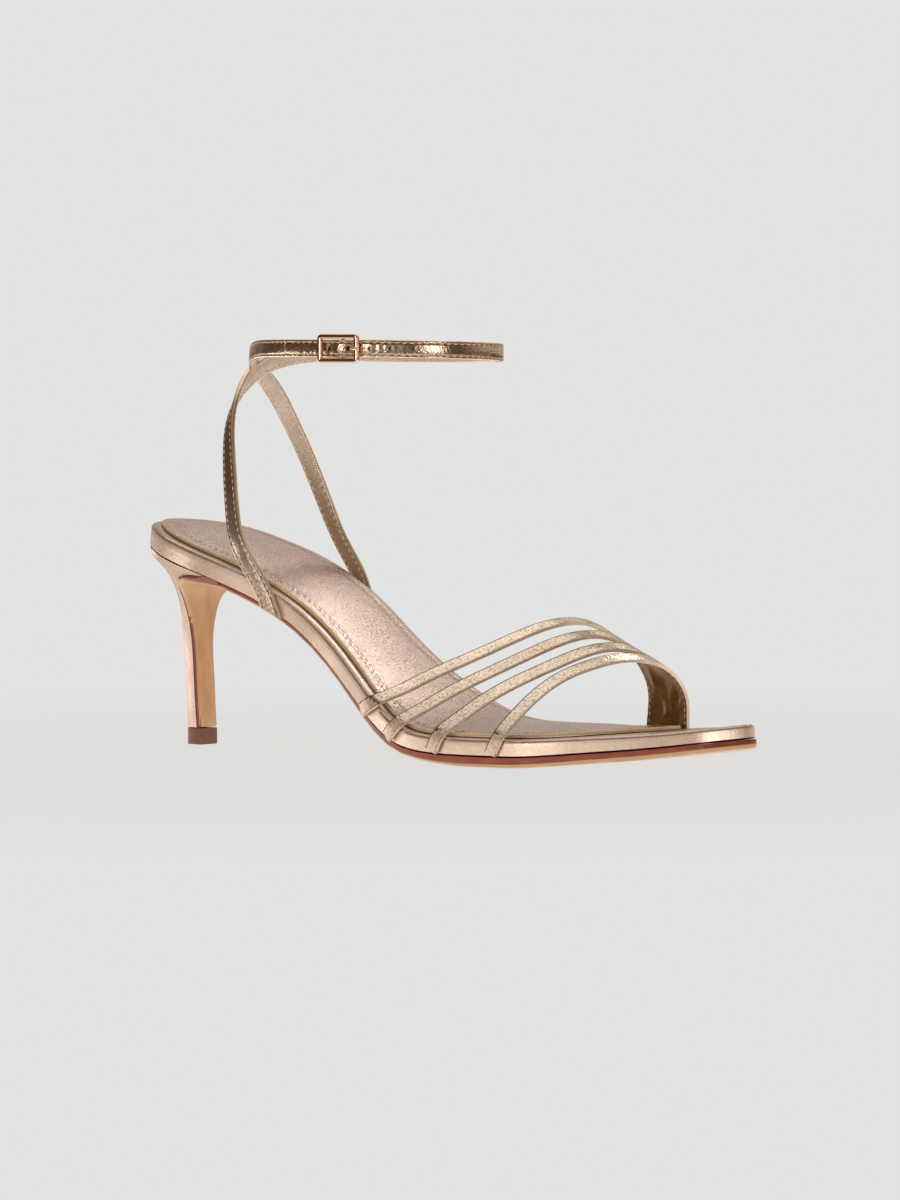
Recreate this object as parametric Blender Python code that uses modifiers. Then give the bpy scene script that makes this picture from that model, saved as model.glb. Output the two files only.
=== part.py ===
"""A heeled sandal for the right foot, with slim vamp straps and a buckled ankle strap.

The tables are in millimetres, with X measured forward from just behind the heel, Y to the
inner side of the foot and Z up from the floor. The finished pieces are moved so that the
middle of the shoe's footprint is the origin.
"""

import math

import bmesh
import bpy
import numpy as np
from mathutils import Matrix

MM = 0.001
MERGE_DISTANCE = 0.01
SMOOTH_ANGLE = 35.0
SHOE_LENGTH = 226.0
HEEL_BACK = 1.8
FOOTPRINT_MIDDLE = (114.0, 0.8)
GAP = 0.3
HEEL_ROUND = 24.0
TOE_ROUND = 10.0
BOARD_STATIONS = 50
LINE_POINTS = 228
BOARD_EDGE_ROUND = 1.8
BOARD_EDGE_TURNS = (0.0, 30.0, 60.0, 90.0)

# The underside of the insole board: its height, and its edge to the outer and inner side
LAST = (
    ("place", "x", "z", "outer", "inner", "board"),
    ("heel back", 0.0, 63.9, 16.0, 16.4, 6.4),
    ("heel curve", 12.0, 62.4, 21.0, 21.4, 6.4),
    ("seat", 30.0, 57.9, 27.0, 25.0, 6.2),
    ("seat front", 50.0, 51.2, 25.8, 25.8, 6.0),
    ("waist", 71.0, 40.3, 21.6, 23.9, 5.6),
    ("shank", 89.0, 26.8, 22.9, 22.5, 5.5),
    ("shank foot", 107.0, 13.4, 28.8, 26.6, 5.4),
    ("ball rear", 122.0, 5.8, 33.6, 30.4, 5.3),
    ("ball", 134.0, 3.7, 35.0, 33.0, 5.2),
    ("tread back", 147.0, 3.3, 35.2, 35.4, 5.2),
    ("tread front", 165.0, 3.3, 33.2, 36.5, 5.1),
    ("toe spring", 188.0, 5.1, 26.0, 33.3, 4.7),
    ("toe", 203.0, 6.5, 18.5, 27.5, 4.4),
    ("toe end", 215.0, 8.0, 9.8, 19.9, 4.2),
    ("toe tip", SHOE_LENGTH, 9.5, 0.6, 11.2, 4.2),
)
TREAD_LEVEL = 3.3

# The outsole: how far its edge lies inside the board's edge, and how thick it is
SOLE_EDGE = (
    ("place", "x", "inset", "thick"),
    ("under the seat", 46.0, 0.9, 1.5),
    ("waist", 71.0, 1.2, 1.5),
    ("shank", 95.0, 0.9, 1.5),
    ("shank foot", 110.0, 0.3, 1.7),
    ("ball rear", 122.0, 0.0, 2.0),
    ("ball", 134.0, -0.2, 2.4),
    ("tread back", 147.0, -0.3, 3.0),
    ("tread front", 165.0, -0.4, 3.0),
    ("toe spring", 195.0, -0.5, 3.0),
    ("toe tip", SHOE_LENGTH, -0.5, 2.7),
)
SOLE_EDGE_ROUND = 0.7
SOLE_EDGE_CHAMFER = 0.2
SOLE_LINE_POINTS = 60
SOLE_LINE_STEP = 0.8
SOLE_STATION_STEP = 6.5
SOLE_STATION_CLEAR = 3.0
FLAP_THICK = 1.6
FLAP_JOINS_SOLE = 47.0
FLAP_GAP = 0.39

# The heel, from its tip to the cup under the seat: back and front of each tilted section
HEEL = (
    ("place", "back", "back_z", "front", "front_z", "half"),
    ("tip", 14.0, 5.4, 19.5, 5.4, 3.9),
    ("stem", 13.3, 20.0, 18.6, 20.0, 4.1),
    ("neck", 12.2, 35.0, 17.8, 35.0, 4.6),
    ("low flare", 12.4, 43.5, 17.7, 42.8, 6.8),
    ("high flare", 12.7, 50.0, 18.3, 48.2, 10.2),
    ("breast turn", 12.2, 54.8, 20.6, 51.6, 14.6),
    ("shelf", 9.7, 58.6, 25.5, 53.6, 19.2),
    ("cup", 6.6, 61.2, 32.5, 54.3, 23.2),
)
HEEL_SEAT_FRONT = 41.0
HEEL_SEAT_INSET = 0.7
HEEL_SQUARENESS = 2.3
HEEL_RINGS = 22
HEEL_STEM_SHARE = 0.35
HEEL_RING_POINTS = 24

TOP_PIECE_BACK = 13.7
TOP_PIECE_FRONT = 21.2
# The top-piece from the floor up: height and half width of each section
TOP_PIECE = ((0.0, 3.95), (0.3, 4.2), (5.1, 4.1))

SOCK_INSET = 3.4
SOCK_THICK = 0.9
SOCK_CROWN = 1.0
SOCK_EDGE_ROUND = 0.5
SOCK_EDGE_WALL = 0.54
SOCK_BACK = 5.2
SOCK_FRONT = 188.0
SOCK_FRONT_ROUND = 40.0
SOCK_FRONT_SIDE = 22.0

# The vamp straps: where each starts outside, where it lands inside, its crest over the rim
# and how far it sags below the arch on its way up
VAMP = (
    ("place", "outer_x", "inner_x", "crest", "sag", "wide"),
    ("first", 107.4, 166.5, 31.3, 0.7, 4.2),
    ("second", 120.7, 170.9, 29.3, 2.2, 4.0),
    ("third", 139.9, 175.3, 26.2, 2.5, 4.0),
    ("fourth", 161.3, 179.7, 22.5, 0.3, 3.7),
)
# The rise of the straps across the foot, as shares of the crest, and the shares of their sag
ARCH = (
    ("across", "rear", "front", "sag"),
    (0.08, 0.12, 0.26, 0.25),
    (0.20, 0.32, 0.56, 0.70),
    (0.35, 0.55, 0.81, 1.0),
    (0.50, 0.77, 0.94, 0.85),
    (0.64, 0.94, 1.0, 0.45),
    (0.76, 0.98, 0.98, 0.15),
    (0.87, 0.85, 0.88, 0.0),
    (0.96, 0.62, 0.66, 0.0),
    (1.0, 0.38, 0.40, 0.0),
)
VAMP_THICK = 1.4
VAMP_STATIONS = 36
VAMP_JOIN = (0.60, 0.74)
VAMP_AXIS_Y = 4.0
VAMP_HALF_WIDTH = 36.0
VAMP_LEAN_OUTER = 0.4
VAMP_LEAN_INNER = 0.9
VAMP_FOOT_LEAN = 2.0
WALL_FOOT = 0.9
WALL_CLEAR = 0.5

# A quarter strap from the rim to the crossing behind the ankle, on the outer side
QUARTER = (
    ("place", "x", "out", "z", "outer_facing", "inner_facing"),
    ("rise", 54.6, 26.0, 64.5, 1.0, -8.0),
    ("bow", 50.6, 23.9, 74.4, 6.0, 0.0),
    ("ankle", 44.6, 18.2, 93.3, 16.0, 8.0),
    ("above the ankle", 42.0, 14.3, 102.4, 29.0, 16.0),
    ("near the crossing", 41.2, 7.6, 112.2, 58.0, 50.0),
    ("crossing", 42.2, 0.0, 118.2, 90.0, 90.0),
)
QUARTER_BASE_X = 59.8
QUARTER_BASE_LEAN = 8.5
QUARTER_FOOT = -2.5
INNER_QUARTER_SHIFT = -1.2
INNER_SHIFT_FADES = (60.0, 95.0)
STRAP_WIDE = 5.4
STRAP_THICK = 1.5
STRAP_EDGE = 0.35
STRAP_STEP = 4.0
CROSSING_LAP = 1.1
CROSSING_RANGE = (90.0, 113.0)
STRAP_END_LIFT = 0.2
BLOCK_RANGE = (40.0, 95.0, 5.0)
BLOCK_HALF_WIDTH = 40.0
BLOCK_DEPTH = 14.0

# The loop round the ankle, an oval seen from above
LOOP_CENTRE = 89.5
LOOP_HALF_LONG = 41.0
LOOP_HALF_WIDE = 30.5
LOOP_LEVEL = 124.8
LOOP_INNER_DROP = 1.8
LOOP_START = 42.0
LOOP_STEP = 16.0
BUCKLE_TURN = 76.3
LONG_STRAP_LEAVES_LOOP = 30.0
LONG_STRAP_LIFT = 1.75
LONG_STRAP_LIFT_ENDS = 35.0
# The long strap through the buckle: place along it, and how far it bulges out of the frame
LONG_STRAP_END = (
    (8.0, 0.0), (6.2, 0.0), (0.0, 1.2), (-6.2, 0.0), (-8.0, 0.0), (-13.0, 0.0), (-17.0, 0.0), (-21.5, 0.0),
)
SHORT_STRAP_LEAVES_LOOP = 26.0
SHORT_STRAP_END = (-13.0, -8.0)
TIP_CORNER = 1.5
TIP_PLACES = (0.15, 0.5, 1.0, 1.6)

BUCKLE_LONG = 14.0
BUCKLE_TALL = 8.8
BUCKLE_WALL = 1.45
BUCKLE_DEPTH = 1.6
BUCKLE_CORNER = 1.1
BUCKLE_EDGE = 0.3
BUCKLE_LIFT = 3.7
BAR_RADIUS = 0.6
BAR_LIFT = 0.35
BAR_CORNER = 0.6
FOLD_START = -3.0
FOLD_THICK = 0.7
FOLD_GAP = 0.2
FOLD_STATIONS = 9
FOLD_TURN = 200.0
# The notch in the fold, where the prong goes round the bar: along, out and up
FOLD_NOTCH = ((-3.5, 3.0), (-2.5, 3.0), (-0.95, 0.95))
PRONG_RADIUS = 0.55
PRONG_BAR_CLEAR = 0.15
PRONG_HOOK_TURNS = (-230.0, -200.0, -170.0, -140.0, -110.0, -80.0, -50.0, -20.0)
PRONG_HOLE_AT = 3.3
PRONG_RISE = ((2.1, 1.2), (PRONG_HOLE_AT, 2.7), (4.8, 4.3))
PRONG_MEETS_FRAME = 6.2
PRONG_END = 7.2
PRONG_POINTS = 26
PRONG_HOLE_RADIUS = 0.95
PRONG_HOLE_LINE = ((1.4, 0.6), (5.2, 4.8))
PUNCH_RADIUS = 0.8
PUNCH_SPACING = 6.5
PUNCH_REACH = 2.0
PUNCH_PLACES = (-1, 1, 2, 3)


def column(table, name):
    """The numbers under one heading of a table."""
    place = table[0].index(name)
    return np.array([row[place] for row in table[1:]], dtype=float)


def spline(knots, values, at):
    """A smooth curve through the values at the knots, read at other places."""
    knots = np.asarray(knots, dtype=float)
    values = np.asarray(values, dtype=float)
    at = np.asarray(at, dtype=float)
    count = len(knots)
    step = np.diff(knots)
    flat = values.reshape(count, -1)
    system = np.zeros((count, count))
    bends = np.zeros_like(flat)
    system[0, 0] = 1.0
    system[-1, -1] = 1.0
    for i in range(1, count - 1):
        system[i, i - 1:i + 2] = (step[i - 1], 2.0 * (step[i - 1] + step[i]), step[i])
        bends[i] = 6.0 * ((flat[i + 1] - flat[i]) / step[i] - (flat[i] - flat[i - 1]) / step[i - 1])
    second = np.linalg.solve(system, bends)
    place = np.clip(np.searchsorted(knots, at) - 1, 0, count - 2)
    left = ((knots[place + 1] - at) / step[place])[:, None]
    right = 1.0 - left
    square = (step[place] ** 2)[:, None] / 6.0
    read = left * flat[place] + right * flat[place + 1]
    read += square * ((left ** 3 - left) * second[place] + (right ** 3 - right) * second[place + 1])
    return read.reshape((len(at),) + values.shape[1:])


def from_table(table, name, at):
    """One column of a table as a smooth function of its x column."""
    return spline(column(table, "x"), column(table, name), np.atleast_1d(at))


def end_round(distance, length):
    """How far a rounded end has opened at a distance from its tip: 0 at the tip, then 1."""
    share = np.clip(distance / length, 0.0, 1.0)
    return np.sqrt(1.0 - (1.0 - share) ** 2)


def smooth_share(value, start, end):
    """A soft step from 0 to 1 between two values."""
    share = np.clip((value - start) / (end - start), 0.0, 1.0)
    return share * share * (3.0 - 2.0 * share)


def unit(vectors):
    """The vectors at length one."""
    return vectors / np.linalg.norm(vectors, axis=-1, keepdims=True)


def chord_run(points):
    """The length passed at each of a row of points."""
    steps = np.linalg.norm(np.diff(points[:, :3], axis=0), axis=1)
    return np.concatenate(([0.0], np.cumsum(steps)))


def through(points, count):
    """Evenly spaced points on a smooth curve through the given ones."""
    points = np.asarray(points, dtype=float)
    chord = chord_run(points)
    return spline(chord, points, np.linspace(0.0, chord[-1], count))


class Line:
    """A curve in the middle plane of the shoe, measured along its own length."""

    def __init__(self, points):
        self.points = np.asarray(points, dtype=float)
        self.run = chord_run(self.points)
        ahead = unit(np.gradient(self.points, self.run, axis=0))
        self.normal = np.column_stack((-ahead[:, 1], ahead[:, 0]))

    def read(self, values, run):
        return np.interp(run, self.run, values)

    def place(self, run, side, lift):
        """Points at a run along the line, to one side of it and lifted along its normal."""
        x = self.read(self.points[:, 0], run) + lift * self.read(self.normal[:, 0], run)
        z = self.read(self.points[:, 1], run) + lift * self.read(self.normal[:, 1], run)
        return np.column_stack((x, np.broadcast_to(side, x.shape), z))

    def run_at(self, x, after=0.0):
        """The run at which the line passes an x, in its stretch after a given run."""
        ahead = self.run >= after
        return np.interp(x, self.points[ahead, 0], self.run[ahead])


def last_height(x):
    """The underside of the insole board, flat along the tread."""
    return np.maximum(from_table(LAST, "z", x), TREAD_LEVEL)


def last_edges(x):
    """The outer and inner edge of the insole board, as signed places across the shoe."""
    outer = from_table(LAST, "outer", x)
    inner = from_table(LAST, "inner", x)
    opening = end_round(x - HEEL_BACK, HEEL_ROUND) * end_round(SHOE_LENGTH - x, TOE_ROUND)
    middle = (inner - outer) / 2.0
    half = (inner + outer) / 2.0 * opening
    return middle - half, middle + half


def make_last_line():
    x = np.linspace(0.0, SHOE_LENGTH, LINE_POINTS)
    return Line(np.column_stack((x, last_height(x))))


LAST_LINE = make_last_line()


def end_spaced(count):
    """Shares from 0 to 1 that crowd together at both ends."""
    turn = (np.arange(count) + 0.5) / count * math.pi
    return (1.0 - np.cos(turn)) / 2.0


def new_object(name, mesh, collection):
    obj = bpy.data.objects.new(name, mesh)
    collection.objects.link(obj)
    return obj


def mesh_from(name, build):
    """A mesh in metres from millimetre geometry, moved to the footprint's middle."""
    bmesh.ops.remove_doubles(build, verts=build.verts, dist=MERGE_DISTANCE)
    to_middle = (-FOOTPRINT_MIDDLE[0], -FOOTPRINT_MIDDLE[1], 0.0)
    bmesh.ops.translate(build, verts=build.verts, vec=to_middle)
    bmesh.ops.scale(build, verts=build.verts, vec=(MM, MM, MM))
    bmesh.ops.recalc_face_normals(build, faces=build.faces)
    mesh = bpy.data.meshes.new(name)
    build.to_mesh(mesh)
    build.free()
    mesh.shade_smooth()
    mesh.set_sharp_from_angle(angle=math.radians(SMOOTH_ANGLE))
    return mesh


def loft(rings, caps, crown=None):
    """Skin through rings of equal count, closed at both ends by strips across each ring."""
    build = bmesh.new()
    rows = [[build.verts.new(point) for point in ring] for ring in rings]
    count = len(rows[0])
    for low, high in zip(rows, rows[1:]):
        for i in range(count):
            j = (i + 1) % count
            build.faces.new((low[i], low[j], high[j], high[i]))
    for row, ridge in ((rows[0], None), (rows[-1], crown)):
        cap_across(build, row, caps, ridge)
    return build


def cap_across(build, row, caps, ridge):
    """Close a ring with strips between its two sides, over a ridge of middle points if given."""
    count = len(row)
    if caps == "fan":
        build.faces.new(row)
        return
    half = count // 2
    spine = None
    if ridge is not None:
        spine = [build.verts.new(point) for point in ridge]
    for i in range(half - 1):
        a, b = row[i], row[i + 1]
        c, d = row[count - 2 - i], row[count - 1 - i]
        if spine is None:
            build.faces.new((a, b, c, d))
        else:
            build.faces.new((a, b, spine[i + 1], spine[i]))
            build.faces.new((spine[i], spine[i + 1], c, d))
    if spine is not None:
        build.faces.new((row[0], spine[0], row[-1]))
        build.faces.new((row[half - 1], spine[-1], row[half]))


def outline_ring(run, outer, inner):
    """A closed outline on the flat pattern: up the outer side, back down the inner side."""
    return np.column_stack((np.concatenate((run, run[::-1])), np.concatenate((outer, inner[::-1]))))


def inset_ring(ring, inset):
    """The outline moved inwards along its own normals."""
    ahead = unit(np.roll(ring, -1, axis=0) - np.roll(ring, 1, axis=0))
    inwards = np.column_stack((-ahead[:, 1], ahead[:, 0]))
    return ring + inwards * np.reshape(inset, (-1, 1))


def both_sides(values):
    """Values of the stations, for the points of a closed outline through them."""
    return np.concatenate((values, values[::-1]))


def slab(line, ring, walls):
    """Rings of a sheet cut to an outline and laid on a line: (inset, lift) for each ring."""
    rings = []
    for inset, lift in walls:
        moved = inset_ring(ring, inset)
        rings.append(line.place(moved[:, 0], moved[:, 1], lift))
    return rings


def make_material(name, colour, roughness, metallic):
    material = bpy.data.materials.new(name)
    material.use_nodes = True
    shader = material.node_tree.nodes["Principled BSDF"]
    shader.inputs["Base Color"].default_value = (*colour, 1.0)
    shader.inputs["Roughness"].default_value = roughness
    shader.inputs["Metallic"].default_value = metallic
    material.diffuse_color = (*colour, 1.0)
    return material


def board_stations():
    x = HEEL_BACK + (SHOE_LENGTH - HEEL_BACK) * end_spaced(BOARD_STATIONS)
    return x, LAST_LINE.run_at(x)


def insole_board():
    """The wrapped board: upright walls with a rounded top edge."""
    x, run = board_stations()
    outer, inner = last_edges(x)
    ring = outline_ring(run, outer, inner)
    thick = both_sides(from_table(LAST, "board", x))
    r = BOARD_EDGE_ROUND
    edge = [(r * (1.0 - math.cos(turn)), r * (1.0 - math.sin(turn)))
            for turn in np.radians(BOARD_EDGE_TURNS)]
    walls = [(0.0, np.zeros_like(thick))]
    walls += [(inset, thick - drop) for inset, drop in edge]
    return loft(slab(LAST_LINE, ring, walls), "strips")


def sock_pad():
    """The padded sock inside the rim, with a soft crown along its middle."""
    x = SOCK_BACK + (SOCK_FRONT - SOCK_BACK) * end_spaced(BOARD_STATIONS)
    run = LAST_LINE.run_at(x)
    outer, inner = last_edges(x)
    back_opening = end_round(x - SOCK_BACK, HEEL_ROUND - SOCK_INSET)
    board_opening = end_round(x - HEEL_BACK, HEEL_ROUND)
    middle = (outer + inner) / 2.0
    half = ((inner - outer) / 2.0 / board_opening - SOCK_INSET) * back_opening
    front = end_round(SOCK_FRONT - x, SOCK_FRONT_ROUND)
    outer = SOCK_FRONT_SIDE + (middle - half - SOCK_FRONT_SIDE) * front
    inner = SOCK_FRONT_SIDE + (middle + half - SOCK_FRONT_SIDE) * front
    ring = outline_ring(run, outer, inner)
    base = both_sides(from_table(LAST, "board", x)) + GAP
    walls = [(0.0, base), (0.0, base + SOCK_EDGE_WALL), (SOCK_EDGE_ROUND, base + SOCK_THICK)]
    rings = slab(LAST_LINE, ring, walls)
    half_count = len(x)
    last = inset_ring(ring, walls[-1][0])
    middle_run = (last[:half_count, 0] + last[:half_count - 1:-1, 0]) / 2.0
    middle_side = (last[:half_count, 1] + last[:half_count - 1:-1, 1]) / 2.0
    spread = (inner - outer) / np.max(inner - outer)
    lift = base[:half_count] + SOCK_THICK + SOCK_CROWN * spread
    ridge = LAST_LINE.place(middle_run, middle_side, lift)
    return loft(rings, "strips", ridge)


def d_section(back, back_z, front, front_z, half, squareness):
    """A section with a flat front and a rounded back, tilted from back to front."""
    turn = np.linspace(0.0, math.pi, HEEL_RING_POINTS)
    deep = np.abs(np.sin(turn)) ** (2.0 / squareness)
    wide = np.sign(np.cos(turn)) * np.abs(np.cos(turn)) ** (2.0 / squareness)
    x = front - (front - back) * deep
    z = front_z + (back_z - front_z) * deep
    return np.column_stack((x, -half * wide, z))


def heel_seat_section():
    """The top of the heel, following the board's underside and outline."""
    turn = np.linspace(0.0, math.pi, HEEL_RING_POINTS)
    back = HEEL_BACK + HEEL_SEAT_INSET
    x = HEEL_SEAT_FRONT - (HEEL_SEAT_FRONT - back) * np.sin(turn)
    outer, inner = last_edges(x - HEEL_SEAT_INSET)
    side = np.where(turn < math.pi / 2.0, outer + HEEL_SEAT_INSET, inner - HEEL_SEAT_INSET)
    return np.column_stack((x, side, last_height(x) - GAP))


def heel_sections():
    names = HEEL[0][1:]
    rows = np.column_stack([column(HEEL, name) for name in names])
    rings = [d_section(*row, HEEL_SQUARENESS) for row in rows]
    rings.append(heel_seat_section())
    levels = np.append(column(HEEL, "back_z"), last_height(np.array([0.0]))[0])
    shares = np.linspace(0.0, 1.0, HEEL_RINGS)
    stops = (levels[0], levels[2], levels[-1])
    fine = np.interp(shares, (0.0, HEEL_STEM_SHARE, 1.0), stops)
    return spline(levels, np.array(rings), fine)


def heel():
    return loft(list(heel_sections()), "strips")


def top_piece():
    rings = [d_section(TOP_PIECE_BACK, z, TOP_PIECE_FRONT, z, half, HEEL_SQUARENESS)
             for z, half in TOP_PIECE]
    return loft(rings, "fan")


def outsole_line():
    """The hidden face of the outsole: up the heel breast, over the turn and along the board."""
    sections = heel_sections()
    breast = sections[:-2, 0][:, (0, 2)]
    ahead = unit(np.gradient(breast, axis=0))
    breast = breast + FLAP_GAP * np.column_stack((ahead[:, 1], -ahead[:, 0]))
    x = np.linspace(FLAP_JOINS_SOLE, SHOE_LENGTH, SOLE_LINE_POINTS)
    board = LAST_LINE.place(LAST_LINE.run_at(x), 0.0, -GAP)[:, (0, 2)]
    points = np.vstack((breast, board))
    chord = chord_run(points)
    fine = np.append(np.arange(0.0, chord[-1], SOLE_LINE_STEP), chord[-1])
    line = Line(spline(chord, points, fine))
    return line, chord[:len(breast)], -sections[:-2, 0, 1], chord[len(breast)]


def outsole():
    """A thin sole that follows the board, with its flap down the breast of the heel."""
    line, flap_run, flap_half, join_run = outsole_line()
    shares = end_spaced(2 * BOARD_STATIONS)[BOARD_STATIONS:]
    toe_x = FLAP_JOINS_SOLE + (SHOE_LENGTH - FLAP_JOINS_SOLE) * shares
    waist_x = np.arange(FLAP_JOINS_SOLE, toe_x[0] - SOLE_STATION_CLEAR, SOLE_STATION_STEP)
    front_x = np.concatenate((waist_x, toe_x))
    front_run = line.run_at(front_x, join_run - SOLE_LINE_STEP)
    outer, inner = last_edges(front_x)
    edge = from_table(SOLE_EDGE, "inset", front_x)
    tip = end_round(SHOE_LENGTH - front_x, TOE_ROUND)
    run = np.concatenate((flap_run, front_run))
    outer = np.concatenate((-flap_half, outer + edge * tip))
    inner = np.concatenate((flap_half, inner - edge * tip))
    sole_thick = np.minimum(from_table(SOLE_EDGE, "thick", front_x), TREAD_LEVEL - GAP)
    thick = np.concatenate((np.full(len(flap_run), FLAP_THICK), sole_thick))
    ring = outline_ring(run, outer, inner)
    thick = both_sides(thick)
    r = SOLE_EDGE_ROUND
    c = SOLE_EDGE_CHAMFER
    walls = [(0.0, np.zeros_like(thick)), (0.0, r - thick), (c, c - thick), (r, -thick)]
    return loft(slab(line, ring, walls), "strips")


def wall_points(x, side, lifts):
    """Points up the outside of the board's wall at an x: side is -1 outside, 1 inside."""
    run = LAST_LINE.run_at(np.array([x]))
    outer, inner = last_edges(np.array([x]))
    edge = inner[0] if side > 0 else -outer[0]
    return np.vstack([LAST_LINE.place(run, side * (edge + lift_out), lift) for lift_out, lift in lifts])


def edge_slope(x, name):
    """How fast one edge of the board widens along the shoe at an x."""
    near = from_table(LAST, name, np.array([x - 1.0, x + 1.0]))
    return (near[1] - near[0]) / 2.0


def vamp_path(row):
    """The middle line of one vamp strap, from the outer wall over the foot to the inner wall."""
    outer_x, inner_x, crest = row["outer_x"], row["inner_x"], row["crest"]
    rear_share = row["rear_share"]
    clear = WALL_CLEAR + VAMP_THICK / 2.0
    board = from_table(LAST, "board", np.array([outer_x, inner_x]))
    foot = wall_points(outer_x - VAMP_FOOT_LEAN, -1, ((clear, WALL_FOOT),))
    start = np.vstack((foot, wall_points(outer_x, -1, ((clear, board[0]),))))
    finish = wall_points(inner_x, 1, ((clear, board[1]), (clear, WALL_FOOT)))
    across = np.array([arch[0] for arch in ARCH[1:]])
    rise = np.array([arch[1] * rear_share + arch[2] * (1.0 - rear_share) for arch in ARCH[1:]])
    base = start[1] + np.outer(across, finish[0] - start[1])
    base[:, 2] += crest * rise - row["sag"] * np.array([arch[3] for arch in ARCH[1:]])
    return np.vstack((start, base, finish))


def vamp_frames():
    """Each strap's middle points and its direction across the strap."""
    names = VAMP[0][1:]
    count = len(VAMP) - 1
    frames = []
    for number, values in enumerate(VAMP[1:]):
        row = dict(zip(names, values[1:]))
        row["rear_share"] = 1.0 - number / (count - 1)
        points = through(vamp_path(row), VAMP_STATIONS)
        ahead = unit(np.gradient(points, axis=0))
        share = np.linspace(1.0, 0.0, VAMP_STATIONS)
        rim = points[0, 2] * share + points[-1, 2] * (1.0 - share)
        height = np.clip((points[:, 2] - rim) / row["crest"], 0.0, 1.0)
        spread = edge_slope(row["outer_x"], "outer") * share
        spread += edge_slope(row["inner_x"], "inner") * (1.0 - share)
        lean = VAMP_LEAN_OUTER * share + VAMP_LEAN_INNER * (1.0 - share)
        forwards = lean * height - spread * (1.0 - height)
        sidewards = (points[:, 1] - VAMP_AXIS_Y) / VAMP_HALF_WIDTH
        outwards = np.column_stack((forwards, sidewards, height))
        outwards = unit(outwards - ahead * np.sum(outwards * ahead, axis=1, keepdims=True))
        across = unit(np.cross(outwards, ahead))
        frames.append((points, across, row["wide"]))
    return frames


def vamp_edges():
    """The rear and front edge of each strap, drawn together where the straps join."""
    edges = []
    for points, across, wide in vamp_frames():
        edges.append(points + across * wide / 2.0)
        edges.append(points - across * wide / 2.0)
    share = np.linspace(0.0, 1.0, VAMP_STATIONS)
    joined = smooth_share(share, *VAMP_JOIN)[:, None]
    for i in range(1, len(edges) - 1, 2):
        meet = (edges[i] + edges[i + 1]) / 2.0
        edges[i] = edges[i] + (meet - edges[i]) * joined
        edges[i + 1] = edges[i + 1] + (meet - edges[i + 1]) * joined
    return edges


def vamp_straps():
    """Four bands of one sheet, separate outside and over the toes, one band on the inner side."""
    build = bmesh.new()
    edges = [[build.verts.new(point) for point in edge] for edge in vamp_edges()]
    for rear, front in zip(edges[0::2], edges[1::2]):
        for i in range(VAMP_STATIONS - 1):
            build.faces.new((rear[i], rear[i + 1], front[i + 1], front[i]))
    return build


def quarter_points(side):
    """A quarter strap's route from the wall to the crossing: place and facing turn in degrees."""
    clear = WALL_CLEAR + STRAP_THICK / 2.0
    facing = math.degrees(math.atan(edge_slope(QUARTER_BASE_X, "outer" if side < 0 else "inner")))
    board = from_table(LAST, "board", np.array([QUARTER_BASE_X]))[0]
    foot = wall_points(QUARTER_BASE_X + QUARTER_BASE_LEAN, side, ((clear, QUARTER_FOOT),))
    rim = wall_points(QUARTER_BASE_X, side, ((clear, board),))
    rows = [[*foot[0], facing], [*rim[0], facing]]
    for _, x, out, z, outer_facing, inner_facing in QUARTER[1:]:
        rows.append([x, side * out, z, outer_facing if side < 0 else inner_facing])
    rows = np.array(rows)
    if side > 0:
        rows[:, 0] += INNER_QUARTER_SHIFT * (1.0 - smooth_share(rows[:, 2], *INNER_SHIFT_FADES))
    return rows


def loop_points(turns):
    """Places on the ankle loop at turns from its front, with the facing turn from the outer side."""
    turn = np.radians(turns)
    x = LOOP_CENTRE + LOOP_HALF_LONG * np.cos(turn)
    y = LOOP_HALF_WIDE * np.sin(turn)
    z = LOOP_LEVEL - LOOP_INNER_DROP * (1.0 + np.sin(turn)) / 2.0
    normal = np.arctan2(np.sin(turn) / LOOP_HALF_WIDE, np.cos(turn) / LOOP_HALF_LONG)
    return np.column_stack((x, y, z)), np.degrees(normal)


def buckle_place():
    """The buckle's middle on the loop, with its axes along the strap, up and out."""
    point, normal = loop_points(np.array([-BUCKLE_TURN]))
    out = np.array([math.cos(math.radians(normal[0])), math.sin(math.radians(normal[0])), 0.0])
    along = np.array([-out[1], out[0], 0.0])
    return point[0], along, out


def buckle_facing():
    """The turn of the buckle's outward axis, in degrees."""
    out = buckle_place()[2]
    return math.degrees(math.atan2(out[1], out[0]))


def in_buckle(along_shift, out_shift, up_shift):
    """A point given along the strap, outwards and up from the buckle's middle."""
    middle, along, out = buckle_place()
    return middle + along * along_shift + out * out_shift + np.array([0.0, 0.0, up_shift])


def strap_rings(points, facing, wide, thick):
    """Sections of a flat strap along a route, facing outwards."""
    ahead = unit(np.gradient(points, axis=0))
    facing = np.radians(facing)
    out = np.column_stack((np.cos(facing), np.sin(facing), np.zeros(len(points))))
    out = unit(out - ahead * np.sum(out * ahead, axis=1, keepdims=True))
    up = np.cross(ahead, out)
    rings = []
    for middle, o, u, w, t in zip(points, out, up, wide, thick):
        h = w / 2.0
        d = t / 2.0
        c = min(STRAP_EDGE, d / 2.0)
        corners = ((h - c, d), (h, d - c), (h, c - d), (h - c, -d),
                   (c - h, -d), (-h, c - d), (-h, d - c), (c - h, d))
        rings.append([middle + u * a + o * b for a, b in corners])
    return rings


def route(rows, step, tip=()):
    """Even points on a route of places with a facing turn, with more at distances from its tip."""
    rows = np.asarray(rows)
    chord = chord_run(rows)
    places = np.linspace(0.0, chord[-1], int(chord[-1] / step) + 1)
    places = np.sort(np.concatenate((places, chord[-1] - np.array(tip))))
    smooth = spline(chord, rows, places)
    return smooth[:, :3], smooth[:, 3], chord[-1] - places


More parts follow.
